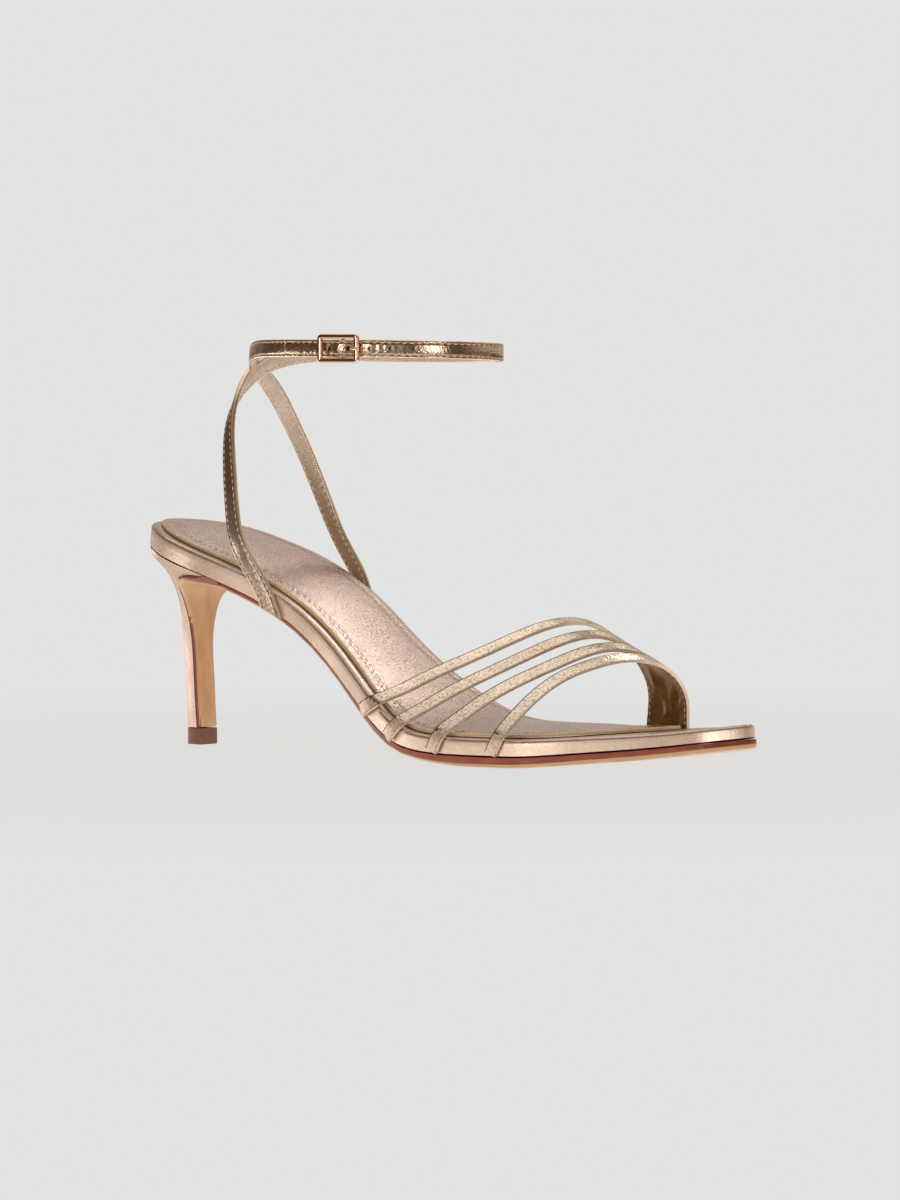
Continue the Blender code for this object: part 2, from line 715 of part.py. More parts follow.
def long_strap():
    """Up the outer side, inside the crossing, round the inner side and front, through the buckle."""
    quarter = quarter_points(-1)
    quarter[:, 3] = 270.0 - quarter[:, 3]
    turns = np.arange(180.0 - LOOP_START, LONG_STRAP_LEAVES_LOOP - BUCKLE_TURN, -LOOP_STEP)
    places, normal = loop_points(turns)
    lift = LONG_STRAP_LIFT * smooth_share(-turns, 0.0, BUCKLE_TURN - LONG_STRAP_LIFT_ENDS)
    turn = np.radians(normal)
    out = np.column_stack((np.cos(turn), np.sin(turn), np.zeros(len(turn))))
    rows = [*quarter, *np.column_stack((places + out * lift[:, None], normal))]
    facing = buckle_facing()
    for shift, rise in LONG_STRAP_END:
        place = in_buckle(shift, LONG_STRAP_LIFT + rise - bow(shift), 0.0)
        rows.append([*place, facing - sweep(shift)])
    points, turned, left = route(rows, STRAP_STEP, TIP_PLACES)
    wide = STRAP_WIDE - 2.0 * TIP_CORNER * (1.0 - end_round(left, TIP_CORNER))
    return loft(strap_rings(points, turned, wide, np.full(len(points), STRAP_THICK)), "fan")


def bow(shift):
    """How far the loop curves away from the buckle's plane at a shift along the strap."""
    radius = LOOP_HALF_LONG ** 2 / LOOP_HALF_WIDE
    return radius - math.sqrt(radius ** 2 - shift ** 2)


def sweep(shift):
    """How far the loop has turned at a shift along the strap, in degrees."""
    radius = LOOP_HALF_LONG ** 2 / LOOP_HALF_WIDE
    return math.degrees(math.asin(-shift / radius))


def short_strap():
    """Up the inner side, outside the crossing and on to its fold round the buckle's bar."""
    quarter = quarter_points(1)
    quarter[:, 3] = 90.0 + quarter[:, 3]
    turn = np.radians(quarter[:, 3])
    lap = CROSSING_LAP * smooth_share(quarter[:, 2], *CROSSING_RANGE)
    quarter[:, :2] += np.column_stack((np.cos(turn), np.sin(turn))) * lap[:, None]
    last_turn = 360.0 - BUCKLE_TURN - SHORT_STRAP_LEAVES_LOOP
    turns = np.arange(180.0 + LOOP_START, last_turn, LOOP_STEP)
    places, normal = loop_points(turns)
    normal = np.mod(normal, 360.0)
    rows = [*quarter, *np.column_stack((places, normal))]
    facing = buckle_facing() % 360.0
    for shift in SHORT_STRAP_END:
        rows.append([*in_buckle(shift, -bow(shift), 0.0), facing - sweep(shift)])
    flat = fold_radius()
    rows.append([*in_buckle(FOLD_START, BAR_LIFT - flat, 0.0), facing])
    points, turned, _ = route(rows, STRAP_STEP)
    count = FOLD_STATIONS
    bend = np.radians(np.linspace(0.0, FOLD_TURN, count))
    fold = [in_buckle(flat * math.sin(b), BAR_LIFT - flat * math.cos(b), 0.0) for b in bend]
    points = np.vstack((points, fold))
    turned = np.concatenate((turned, facing - np.degrees(bend)))
    thick = np.full(len(points), STRAP_THICK)
    thick[-count - 1:] = FOLD_THICK
    thick[-count - 2] = (STRAP_THICK + FOLD_THICK) / 2.0
    wide = np.full(len(points), STRAP_WIDE)
    return loft(strap_rings(points, turned, wide, thick), "fan")


def sole_line_block():
    """A block under the board's edge, against which the quarter straps end."""
    x = np.arange(*BLOCK_RANGE)
    side = np.full(len(x), BLOCK_HALF_WIDTH)
    ring = outline_ring(LAST_LINE.run_at(x), -side, side)
    return loft(slab(LAST_LINE, ring, ((0.0, -BLOCK_DEPTH), (0.0, STRAP_END_LIFT))), "strips")


def fold_radius():
    """The middle of the folded strap end, from the bar's axis."""
    return BAR_RADIUS + FOLD_GAP + FOLD_THICK / 2.0


def outline_curve(name, outlines, depth, edge):
    """A flat curve with a hole, thick by its depth and with rounded edges."""
    data = bpy.data.curves.new(name, "CURVE")
    data.dimensions = "2D"
    data.fill_mode = "BOTH"
    data.extrude = depth / 2.0 - edge
    data.bevel_depth = edge
    data.bevel_resolution = 1
    data.offset = -edge
    for outline in outlines:
        stretch = data.splines.new("POLY")
        stretch.points.add(len(outline) - 1)
        for point, (x, y) in zip(stretch.points, outline):
            point.co = (x, y, 0.0, 1.0)
        stretch.use_cyclic_u = True
    return data


def wire_curve(name, points, radius):
    """A round wire through points."""
    data = bpy.data.curves.new(name, "CURVE")
    data.dimensions = "3D"
    data.bevel_depth = radius
    data.bevel_resolution = 2
    data.use_fill_caps = True
    stretch = data.splines.new("POLY")
    stretch.points.add(len(points) - 1)
    for point, place in zip(stretch.points, points):
        point.co = (*place, 1.0)
    return data


def curve_build(data):
    """The millimetre geometry of a curve, as a closed mesh."""
    holder = bpy.data.objects.new(data.name, data)
    bpy.context.scene.collection.objects.link(holder)
    shape = holder.evaluated_get(bpy.context.evaluated_depsgraph_get())
    mesh = bpy.data.meshes.new_from_object(shape)
    bpy.data.objects.remove(holder)
    build = bmesh.new()
    build.from_mesh(mesh)
    bmesh.ops.remove_doubles(build, verts=build.verts, dist=MERGE_DISTANCE)
    return build


def rounded_rectangle(long, tall, corner):
    points = []
    for quarter, (sx, sy) in enumerate(((1, 1), (-1, 1), (-1, -1), (1, -1))):
        middle = (sx * (long / 2.0 - corner), sy * (tall / 2.0 - corner))
        for part in range(4):
            turn = math.radians(quarter * 90.0 + part * 30.0)
            x = middle[0] + corner * math.cos(turn)
            y = middle[1] + corner * math.sin(turn)
            points.append((x, y))
    return points


def buckle_matrix(lift):
    """The placing of a shape drawn flat, with its x along the strap and its z outwards."""
    middle, along, out = buckle_place()
    spot = middle + out * lift
    up = np.array([0.0, 0.0, 1.0])
    rows = np.column_stack((along, up, out, spot)).tolist()
    return Matrix([*rows, [0.0, 0.0, 0.0, 1.0]])


def buckle_frame():
    outer = rounded_rectangle(BUCKLE_LONG, BUCKLE_TALL, BUCKLE_CORNER)
    inner_long = BUCKLE_LONG - 2.0 * BUCKLE_WALL
    inner_tall = BUCKLE_TALL - 2.0 * BUCKLE_WALL
    inner = rounded_rectangle(inner_long, inner_tall, BUCKLE_CORNER / 2.0)
    build = curve_build(outline_curve("frame outline", (outer, inner), BUCKLE_DEPTH, BUCKLE_EDGE))
    bmesh.ops.transform(build, matrix=buckle_matrix(BUCKLE_LIFT), verts=build.verts)
    return build


def buckle_bar():
    """The hidden bar that drops behind the strap from the frame's long sides."""
    side = (BUCKLE_TALL - BUCKLE_WALL) / 2.0
    drop = BUCKLE_LIFT - BAR_LIFT
    half = [(0.0, side, 0.0), (0.0, side, BAR_CORNER - drop), (0.0, side - BAR_CORNER, -drop)]
    points = half + [(x, -y, z) for x, y, z in reversed(half)]
    build = curve_build(wire_curve("bar line", points, BAR_RADIUS))
    bmesh.ops.transform(build, matrix=buckle_matrix(BUCKLE_LIFT), verts=build.verts)
    return build


def buckle_prong():
    """The pin: hooked round the bar, up through the strap and out over the frame's front side."""
    ring = BAR_RADIUS + PRONG_BAR_CLEAR + PRONG_RADIUS
    hook = [(ring * math.cos(turn), BAR_LIFT + ring * math.sin(turn))
            for turn in np.radians(PRONG_HOOK_TURNS)]
    top = BUCKLE_LIFT + BUCKLE_DEPTH / 2.0 + GAP + PRONG_RADIUS
    line = [*hook, *PRONG_RISE, (PRONG_MEETS_FRAME, top), (PRONG_END, top)]
    flat = through(np.array([(a, b, 0.0) for a, b in line]), PRONG_POINTS)
    points = [in_buckle(a, b, 0.0) for a, b, _ in flat]
    return curve_build(wire_curve("prong line", points, PRONG_RADIUS))


def rod(start, end, radius):
    """A closed round cutter between two points."""
    return curve_build(wire_curve("rod line", [start, end], radius))


def box_in_buckle(along_range, out_range, up_range):
    """A closed box given by its ranges along, out of and up the buckle."""
    build = bmesh.new()
    bmesh.ops.create_cube(build, size=1.0)
    sizes = [high - low for low, high in (along_range, up_range, out_range)]
    middles = [(high + low) / 2.0 for low, high in (along_range, up_range, out_range)]
    bmesh.ops.scale(build, verts=build.verts, vec=sizes)
    bmesh.ops.translate(build, verts=build.verts, vec=middles)
    bmesh.ops.transform(build, matrix=buckle_matrix(0.0), verts=build.verts)
    return build


def cut(obj, cutter, operation):
    """A Boolean of one object with a hidden helper."""
    cutter.hide_render = True
    cutter.display_type = "WIRE"
    change = obj.modifiers.new(cutter.name, "BOOLEAN")
    change.operation = operation
    change.object = cutter
    change.solver = "EXACT"


def punch_rods():
    """Round cutters for the prong's hole and the other holes of the strap."""
    start, end = [in_buckle(along, out, 0.0) for along, out in PRONG_HOLE_LINE]
    rods = [("prong hole", rod(start, end, PRONG_HOLE_RADIUS))]
    for number in PUNCH_PLACES:
        shift = PRONG_HOLE_AT + number * PUNCH_SPACING
        low = in_buckle(shift, -PUNCH_REACH - bow(shift), 0.0)
        high = in_buckle(shift, 3.0 * PUNCH_REACH - bow(shift), 0.0)
        rods.append((f"strap hole {number}", rod(low, high, PUNCH_RADIUS)))
    return rods


def main():
    for obj in list(bpy.data.objects):
        bpy.data.objects.remove(obj)
    parts = bpy.data.collections.new("heeled_sandal")
    helpers = bpy.data.collections.new("heeled_sandal_cutters")
    for collection in (parts, helpers):
        bpy.context.scene.collection.children.link(collection)

    gold = (0.80, 0.62, 0.42)
    looks = {
        "outsole": (outsole, ((0.58, 0.33, 0.18), 0.45, 0.0)),
        "insole_board": (insole_board, (gold, 0.35, 0.8)),
        "sock_pad": (sock_pad, ((0.78, 0.60, 0.48), 0.35, 0.7)),
        "heel": (heel, (gold, 0.35, 0.8)),
        "top_piece": (top_piece, ((0.15, 0.08, 0.04), 0.6, 0.0)),
        "vamp_straps": (vamp_straps, (gold, 0.35, 0.8)),
        "ankle_straps": (long_strap, (gold, 0.35, 0.8)),
        "buckle_frame": (buckle_frame, ((0.90, 0.68, 0.45), 0.15, 1.0)),
        "buckle_prong": (buckle_prong, ((0.90, 0.68, 0.45), 0.15, 1.0)),
    }
    made = {}
    for name, (shape, (colour, roughness, metallic)) in looks.items():
        obj = new_object(name, mesh_from(name, shape()), parts)
        obj.data.materials.append(make_material(f"{name} finish", colour, roughness, metallic))
        made[name] = obj

    wall = made["vamp_straps"].modifiers.new("leather", "SOLIDIFY")
    wall.thickness = VAMP_THICK * MM
    wall.offset = 0.0

    second = new_object("short strap", mesh_from("short strap", short_strap()), helpers)
    notch = box_in_buckle(*FOLD_NOTCH)
    cut(second, new_object("fold notch", mesh_from("fold notch", notch), helpers), "DIFFERENCE")
    for name, build in punch_rods():
        cut(made["ankle_straps"], new_object(name, mesh_from(name, build), helpers), "DIFFERENCE")
    cut(made["ankle_straps"], second, "UNION")
    block = new_object("sole line block", mesh_from("sole line block", sole_line_block()), helpers)
    cut(made["ankle_straps"], block, "DIFFERENCE")
    bar = new_object("buckle bar", mesh_from("buckle bar", buckle_bar()), helpers)
    cut(made["buckle_frame"], bar, "UNION")


main()
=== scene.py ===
import math

import bmesh
import bpy
import numpy as np
from mathutils import Matrix, Vector


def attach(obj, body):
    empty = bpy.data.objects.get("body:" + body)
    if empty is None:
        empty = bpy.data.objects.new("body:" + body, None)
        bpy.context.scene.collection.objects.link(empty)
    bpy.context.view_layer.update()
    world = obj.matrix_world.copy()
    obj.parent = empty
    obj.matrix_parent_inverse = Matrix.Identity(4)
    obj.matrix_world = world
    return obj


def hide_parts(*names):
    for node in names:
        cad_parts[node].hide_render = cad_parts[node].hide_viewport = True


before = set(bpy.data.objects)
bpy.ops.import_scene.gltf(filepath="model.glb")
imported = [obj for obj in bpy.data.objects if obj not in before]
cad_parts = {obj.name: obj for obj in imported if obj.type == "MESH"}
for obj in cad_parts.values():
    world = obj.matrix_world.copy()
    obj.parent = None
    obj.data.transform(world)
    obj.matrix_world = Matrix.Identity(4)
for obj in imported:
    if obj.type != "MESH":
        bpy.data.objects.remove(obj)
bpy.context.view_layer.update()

mm = 0.001
weld = 0.000002   # metres, points closer than this are made one
footMiddle = np.array([114.0, 0.8, 0.0])   # mm, the origin seen from behind the heel
upright = np.array([0.0, 0.0, 1.0])


# small curve helpers, all in mm

def smoothRead(knots, values, at):
    # natural cubic through the values, read at other places
    knots = np.asarray(knots, float)
    values = np.asarray(values, float)
    at = np.asarray(at, float)
    count = len(knots)
    step = np.diff(knots)
    flat = values.reshape(count, -1)
    system = np.eye(count)
    bends = np.zeros_like(flat)
    for i in range(1, count - 1):
        system[i, i - 1:i + 2] = (step[i - 1], 2 * (step[i - 1] + step[i]), step[i])
        bends[i] = 6 * ((flat[i + 1] - flat[i]) / step[i] - (flat[i] - flat[i - 1]) / step[i - 1])
    second = np.linalg.solve(system, bends)
    place = np.clip(np.searchsorted(knots, at) - 1, 0, count - 2)
    left = ((knots[place + 1] - at) / step[place])[:, None]
    right = 1 - left
    square = (step[place] ** 2)[:, None] / 6
    read = left * flat[place] + right * flat[place + 1]
    read += square * ((left ** 3 - left) * second[place] + (right ** 3 - right) * second[place + 1])
    return read.reshape((len(at),) + values.shape[1:])


def unitRows(rows):
    return rows / np.linalg.norm(rows, axis=-1, keepdims=True)


def softStep(value, start, end):
    share = np.clip((value - start) / (end - start), 0, 1)
    return share * share * (3 - 2 * share)


def roundedEnd(distance, length):
    share = np.clip(distance / length, 0, 1)
    return np.sqrt(1 - (1 - share) ** 2)


def runOf(points):
    steps = np.linalg.norm(np.diff(points[:, :3], axis=0), axis=1)
    return np.concatenate(([0.0], np.cumsum(steps)))


def crowdedEnds(count):
    return (1 - np.cos((np.arange(count) + 0.5) / count * math.pi)) / 2


def thereAndBack(first, second):
    # along the outer side to the toe and back along the inner side
    return np.concatenate((first, second[::-1]))


def sideways(turned):
    return np.column_stack((np.cos(turned), np.sin(turned), 0 * turned))


# the last: underside of the insole board, its edges and the board's wall

last = {
    "x": [0, 12, 30, 50, 71, 89, 107, 122, 134, 147, 165, 188, 203, 215, 226],
    "z": [63.9, 62.4, 57.9, 51.2, 40.3, 26.8, 13.4, 5.8, 3.7, 3.3, 3.3, 5.1, 6.5, 8.0, 9.5],
    "outer": [16.0, 21.0, 27.0, 25.8, 21.6, 22.9, 28.8, 33.6, 35.0, 35.2, 33.2, 26.0, 18.5, 9.8, 0.6],
    "inner": [16.4, 21.4, 25.0, 25.8, 23.9, 22.5, 26.6, 30.4, 33.0, 35.4, 36.5, 33.3, 27.5, 19.9, 11.2],
    "board": [6.4, 6.4, 6.2, 6.0, 5.6, 5.5, 5.4, 5.3, 5.2, 5.2, 5.1, 4.7, 4.4, 4.2, 4.2],
    "back": 1.8,
    "front": 226.0,
    "tread": 3.3,
    "heelRound": 24.0,
    "toeRound": 10.0,
    "stations": 228,
}


def lastRead(name, x):
    return smoothRead(last["x"], last[name], np.atleast_1d(x))


def lastEdges(x):
    outer, inner = lastRead("outer", x), lastRead("inner", x)
    opening = roundedEnd(x - last["back"], last["heelRound"])
    opening = opening * roundedEnd(last["front"] - x, last["toeRound"])
    middle, half = (inner - outer) / 2, (inner + outer) / 2 * opening
    return middle - half, middle + half


def edgeSlope(x, name):
    near = lastRead(name, np.array([x - 1.0, x + 1.0]))
    return (near[1] - near[0]) / 2


lineX = np.linspace(0, last["front"], last["stations"])
lineZ = np.maximum(lastRead("z", lineX), last["tread"])
lineRun = runOf(np.column_stack((lineX, lineZ)))
lineAhead = unitRows(np.gradient(np.column_stack((lineX, lineZ)), lineRun, axis=0))


def onLast(run, side, lift):
    def read(values):
        return np.interp(run, lineRun, values)
    x = read(lineX) - lift * read(lineAhead[:, 1])
    z = read(lineZ) + lift * read(lineAhead[:, 0])
    return np.column_stack((x, np.broadcast_to(side, x.shape), z))


def lastRun(x):
    return np.interp(x, lineX, lineRun)


def insetOutline(ring, inset):
    ahead = unitRows(np.roll(ring, -1, axis=0) - np.roll(ring, 1, axis=0))
    return ring + np.column_stack((-ahead[:, 1], ahead[:, 0])) * np.reshape(inset, (-1, 1))


# mesh helpers

def finishPiece(name, bm, materials, smoothAngle=40.0, recalc=True):
    bmesh.ops.remove_doubles(bm, verts=bm.verts, dist=weld)
    if recalc:
        bmesh.ops.recalc_face_normals(bm, faces=bm.faces)
    mesh = bpy.data.meshes.new(name)
    bm.to_mesh(mesh)
    bm.free()
    mesh.shade_smooth()
    mesh.set_sharp_from_angle(angle=math.radians(smoothAngle))
    for material in materials:
        mesh.materials.append(material)
    piece = bpy.data.objects.new(name, mesh)
    bpy.context.scene.collection.objects.link(piece)
    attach(piece, "root")
    return piece


def bentGrid(bm, places, slots=None):
    # a flat grid bent so that its points lie at places[row][column]
    rows, columns = places.shape[:2]
    made = bmesh.ops.create_grid(bm, x_segments=columns - 1, y_segments=rows - 1, size=1.0)["verts"]
    seats = [(round((v.co.y + 1) / 2 * (rows - 1)), round((v.co.x + 1) / 2 * (columns - 1))) for v in made]
    faces = {face for v in made for face in v.link_faces}
    if slots is not None:
        for face in faces:
            face.material_index = slots[int((face.calc_center_median().y + 1) / 2 * (rows - 1))]
    for v, (row, column) in zip(made, seats):
        v.co = (places[row, column] - footMiddle) * mm


def slabGrid(bm, ring, walls):
    # a sheet cut to an outline and laid on the last: walls are (inset, lift, share to the middle, slot)
    half = len(ring) // 2
    rows = []
    for inset, lift, toMiddle, _ in walls:
        moved = insetOutline(ring, inset)
        middle = (moved[:half] + moved[:half - 1:-1]) / 2
        middle = np.vstack((middle, middle[::-1]))
        moved = moved + (middle - moved) * toMiddle
        laid = onLast(moved[:, 0], moved[:, 1], lift)
        rows.append(np.vstack((laid, laid[:1])))
    bentGrid(bm, np.array(rows), [wall[3] for wall in walls])


def tubeGrid(bm, middles, ups, outs, sections, slots=None):
    # a section carried along a path: sections[i] holds (up, out) pairs at place i
    sections = np.asarray(sections)
    rows = middles[:, None] + sections[:, :, :1] * ups[:, None] + sections[:, :, 1:] * outs[:, None]
    rows = np.concatenate((rows, rows[:, :1]), axis=1)
    bentGrid(bm, np.swapaxes(rows, 0, 1), slots)
    bmesh.ops.remove_doubles(bm, verts=bm.verts, dist=weld)


def fillEnds(bm):
    bmesh.ops.holes_fill(bm, edges=[edge for edge in bm.edges if edge.is_boundary], sides=0)


def stitchLine(bm, points, outs, stitch):
    # one small pad of thread for each stitch along a seam
    run = runOf(points)

    def read(rows, at):
        return np.array([np.interp(at, run, rows[:, k]) for k in range(3)])

    lookBack = 0.3
    pitch = stitch["long"] + stitch["gap"]
    long, thick = stitch["long"] / 2 * mm, stitch["thick"] / 2 * mm
    for at in np.arange(pitch, run[-1] - pitch / 2, pitch):
        place, out = read(points, at), read(outs, at)
        ahead = unitRows(place - read(points, at - lookBack))
        out = unitRows(out - ahead * np.dot(out, ahead))
        side = np.cross(out, ahead)
        turn = Matrix(np.column_stack((ahead, side, out)).tolist()).to_4x4()
        size = Matrix.Diagonal((long, thick, thick, 1))
        spot = Matrix.Translation(((place - footMiddle) * mm).tolist())
        bmesh.ops.create_uvsphere(bm, u_segments=6, v_segments=4, radius=1.0, matrix=spot @ turn @ size)


def copyNode(name):
    bm = bmesh.new()
    bm.from_mesh(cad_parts[name].data)
    bmesh.ops.remove_doubles(bm, verts=bm.verts, dist=weld)
    return bm


# finishes

def newFinish(name):
    material = bpy.data.materials.new(name)
    material.use_nodes = True
    tree = material.node_tree
    return material, tree, tree.nodes["Principled BSDF"]


def feed(tree, node, **values):
    # a socket is joined, a plain value is set on the input or on the node itself
    for key, value in values.items():
        if isinstance(value, bpy.types.NodeSocket):
            tree.links.new(value, node.inputs[key])
        elif key in node.inputs:
            node.inputs[key].default_value = value
        else:
            setattr(node, key, value)
    return node


def addNode(tree, kind, **values):
    return feed(tree, tree.nodes.new(kind), **values)


def patternNoise(tree, scale, detail=3.0, stretch=None):
    source = addNode(tree, "ShaderNodeTexCoord").outputs["Object"]
    if stretch:
        source = addNode(tree, "ShaderNodeMapping", Scale=stretch, Vector=source).outputs["Vector"]
    return addNode(tree, "ShaderNodeTexNoise", Scale=scale, Detail=detail, Vector=source).outputs["Fac"]


def ramp(tree, source, low, high, start=0.35, end=0.65):
    node = addNode(tree, "ShaderNodeValToRGB", Fac=source)
    for stop, tone, place in zip(node.color_ramp.elements, (low, high), (start, end)):
        stop.position = place
        stop.color = (*tone, 1)
    return node.outputs["Color"]


def between(tree, source, low, high, start=0.0, end=1.0, kind="LINEAR"):
    ends = {"From Min": start, "From Max": end, "To Min": low, "To Max": high}
    node = addNode(tree, "ShaderNodeMapRange", interpolation_type=kind, Value=source, **ends)
    return node.outputs["Result"]


def fadeFrom(tree, share, plain, tone):
    # a plain tone that gives way to another as the share rises
    mix = addNode(tree, "ShaderNodeMix", data_type="RGBA", A=(*plain, 1), B=tone, Factor=share)
    return mix.outputs["Result"]


def dress(tree, shader, tone, rough, *layers):
    # tone, roughness and bumps; layers are (height, strength, depth in mm), laid one on the other
    normal = {}
    for height, strength, depth in layers:
        bump = addNode(tree, "ShaderNodeBump", Strength=strength, Distance=depth * mm, Height=height)
        normal = {"Normal": feed(tree, bump, **normal).outputs["Normal"]}
    feed(tree, shader, Roughness=rough, **{"Base Color": tone}, **normal)


def foilLeather(name, look):
    # metallic foil on grained leather: the foil is thin and dark in the pits of the grain
    material, tree, shader = newFinish(name)
    feed(tree, shader, Metallic=look["metallic"])
    if "edgeTone" in look:
        feed(tree, shader, **{"Specular Tint": (*look["edgeTone"], 1)})
    grain = patternNoise(tree, look["grain"])
    cloud = patternNoise(tree, look["cloud"])
    fold = patternNoise(tree, look["fold"], look["foldDetail"])
    tone = ramp(tree, cloud, look["dark"], look["light"])
    pits = ramp(tree, grain, (look["pit"],) * 3, (1.0, 1.0, 1.0), *look["pitShares"])
    if "low" in look:
        # another tone and metallic lower down, in metres above the floor; on the vamp and ankle straps the
        # darker tone is painted shade near the sole
        coords = addNode(tree, "ShaderNodeTexCoord")
        place = addNode(tree, "ShaderNodeSeparateXYZ", Vector=coords.outputs["Object"])
        risen = between(tree, place.outputs["Z"], 0.0, 1.0, *look["low"]["heights"])
        feed(tree, shader, Metallic=between(tree, risen, look["low"]["metallic"], look["metallic"]))
        tone = fadeFrom(tree, risen, look["low"]["tone"], tone)
    worn = addNode(tree, "ShaderNodeMix", data_type="RGBA", blend_type="MULTIPLY", Factor=1.0, A=tone, B=pits)
    folds, grains = (look["foldShare"], look["foldDeep"]), (look["grainShare"], look["grainDeep"])
    rough = between(tree, grain, *look["rough"])
    dress(tree, shader, worn.outputs["Result"], rough, (fold, *folds), (grain, *grains))
    return material


goldLook = {
    "light": (0.95, 0.79, 0.62),
    "dark": (0.84, 0.68, 0.52),
    "metallic": 0.95,
    "rough": (0.30, 0.14),
    "grain": 1400.0,   # cells per metre
    "cloud": 140.0,
    "fold": 230.0,
    "foldDetail": 2.0,
    "pit": 0.54,
    "pitShares": (0.34, 0.56),
    "grainShare": 0.9,
    "grainDeep": 0.12,
    "foldShare": 0.18,
    "foldDeep": 0.4,
}
# the vamp straps turn darker near the sole: painted shade
vampLook = {**goldLook, "low": {"tone": (0.64, 0.52, 0.40), "metallic": 0.95, "heights": (0.011, 0.022)}}
footLook = {
    **goldLook, "light": (0.88, 0.68, 0.51), "dark": (0.78, 0.58, 0.42),
    "metallic": 0.3, "rough": (0.40, 0.28), "pit": 0.66,
}
ankleLook = {
    **goldLook, "light": (0.90, 0.68, 0.49), "dark": (0.78, 0.57, 0.39),
    "rough": (0.25, 0.11), "pit": 0.58, "grainShare": 0.8, "foldShare": 0.20,
    # darker and less metallic near the sole: the darker tone is painted shade
    "low": {"tone": (0.66, 0.50, 0.38), "metallic": 0.62, "heights": (0.062, 0.080)},
}
wallLook = {
    **goldLook, "light": (0.96, 0.74, 0.57), "dark": (0.89, 0.67, 0.51),
    "metallic": 0.55, "rough": (0.36, 0.24), "pit": 0.86, "grainShare": 0.35, "foldShare": 0.10,
}
rimLook = {
    **goldLook, "light": (0.74, 0.56, 0.46), "dark": (0.66, 0.49, 0.40),
    "metallic": 0.6, "rough": (0.32, 0.20), "pit": 0.80, "grainShare": 0.4, "foldShare": 0.10,
}
heelLook = {
    **wallLook, "light": (0.74, 0.56, 0.45), "dark": (0.66, 0.50, 0.39),
    "metallic": 0.8, "rough": (0.46, 0.34), "edgeTone": (0.62, 0.52, 0.44),
}
sockLook = {
    **goldLook, "light": (0.92, 0.69, 0.57), "dark": (0.82, 0.60, 0.50),
    "metallic": 0.58, "rough": (0.26, 0.15), "grain": 1450.0,
    "pit": 0.52, "grainShare": 1.0, "foldShare": 0.05,
}
liningLook = {
    **goldLook, "light": (1.0, 0.81, 0.69), "dark": (0.93, 0.73, 0.60),
    "metallic": 0.15, "rough": (0.48, 0.32), "pit": 0.80, "grainShare": 0.5,
    "low": {"tone": (0.72, 0.55, 0.38), "metallic": 0.45, "heights": (0.084, 0.106)},
}
panelLook = {
    **goldLook, "light": (0.42, 0.245, 0.09), "dark": (0.26, 0.14, 0.045),
    "metallic": 0.7, "rough": (0.5, 0.28), "pit": 0.7,
}
edgeLook = {
    **goldLook, "light": (0.94, 0.72, 0.50), "dark": (0.82, 0.60, 0.40),
    "rough": (0.4, 0.25), "pit": 0.9, "grainShare": 0.2,
}
vampEdgeLook = {**edgeLook, "light": (0.96, 0.80, 0.62), "dark": (0.86, 0.69, 0.51), "metallic": 0.5}
sockEdgeLook = {**edgeLook, "light": (1.0, 0.75, 0.42), "dark": (0.90, 0.64, 0.34), "metallic": 0.2}
threadLook = {
    **edgeLook, "light": (1.0, 0.94, 0.82), "dark": (0.95, 0.86, 0.71),
    "metallic": 0.0, "rough": (0.6, 0.45),
}
# near-black brown: edge paint with painted shade along the vamp straps' rear edges, and painted shade at the
# board's foot, under the sock's cut edge, in the vamp crease and inside the punched holes
paintAndShadeLook = {
    **edgeLook, "light": (0.17, 0.09, 0.04), "dark": (0.09, 0.045, 0.02),
    "metallic": 0.3, "rough": (0.6, 0.4),
}
# darker gold-brown: painted shade in the stitch grooves of the ankle straps
grooveShadeLook = {**goldLook, "light": (0.55, 0.39, 0.25), "dark": (0.42, 0.29, 0.17), "rough": (0.5, 0.35)}

gold = foilLeather("vamp_strap_leather", vampLook)
ankleGold = foilLeather("ankle_strap_leather", ankleLook)
footGold = foilLeather("strap_foot_leather", footLook)
wallGold = foilLeather("board_wall_leather", wallLook)
rimGold = foilLeather("board_rim_leather", rimLook)
heelGold = foilLeather("heel_leather", heelLook)
sockFoil = foilLeather("sock_leather", sockLook)
lining = foilLeather("strap_lining", liningLook)
panelLining = foilLeather("panel_lining", panelLook)
foldedEdge = foilLeather("folded_edge", edgeLook)
vampEdge = foilLeather("vamp_edge", vampEdgeLook)
sockEdge = foilLeather("sock_cut_edge", sockEdgeLook)
thread = foilLeather("thread", threadLook)
edgePaintAndShade = foilLeather("edge_paint_and_painted_shade", paintAndShadeLook)
groove = foilLeather("stitch_groove_painted_shade", grooveShadeLook)

soleGrain = {
    "coatRough": 0.25,
    "fibreDetail": 5.0,
    "fine": 3000.0,
    "fineDetail": 2.0,
    "fibreBump": (0.15, 0.1),   # share, depth in mm
    "fineBump": (0.25, 0.05),
}


def soleLeather(name, look):
    material, tree, shader = newFinish(name)
    feed(tree, shader, **{"Coat Weight": look["wax"], "Coat Roughness": soleGrain["coatRough"]})
    fibre = patternNoise(tree, look["fibre"], soleGrain["fibreDetail"], look["stretch"])
    fine = patternNoise(tree, soleGrain["fine"], soleGrain["fineDetail"])
    tone = ramp(tree, fibre, look["dark"], look["light"])
    if "bare" in look:
        # bare leather below the stain: edgeHeight rises to 1 at the sole's top
        height = addNode(tree, "ShaderNodeAttribute", attribute_name="edgeHeight").outputs["Fac"]
        tone = fadeFrom(tree, between(tree, height, 0.0, 1.0, *look["bareTop"]), look["bare"], tone)
    rough = between(tree, fine, *look["rough"])
    dress(tree, shader, tone, rough, (fibre, *soleGrain["fibreBump"]), (fine, *soleGrain["fineBump"]))
    return material


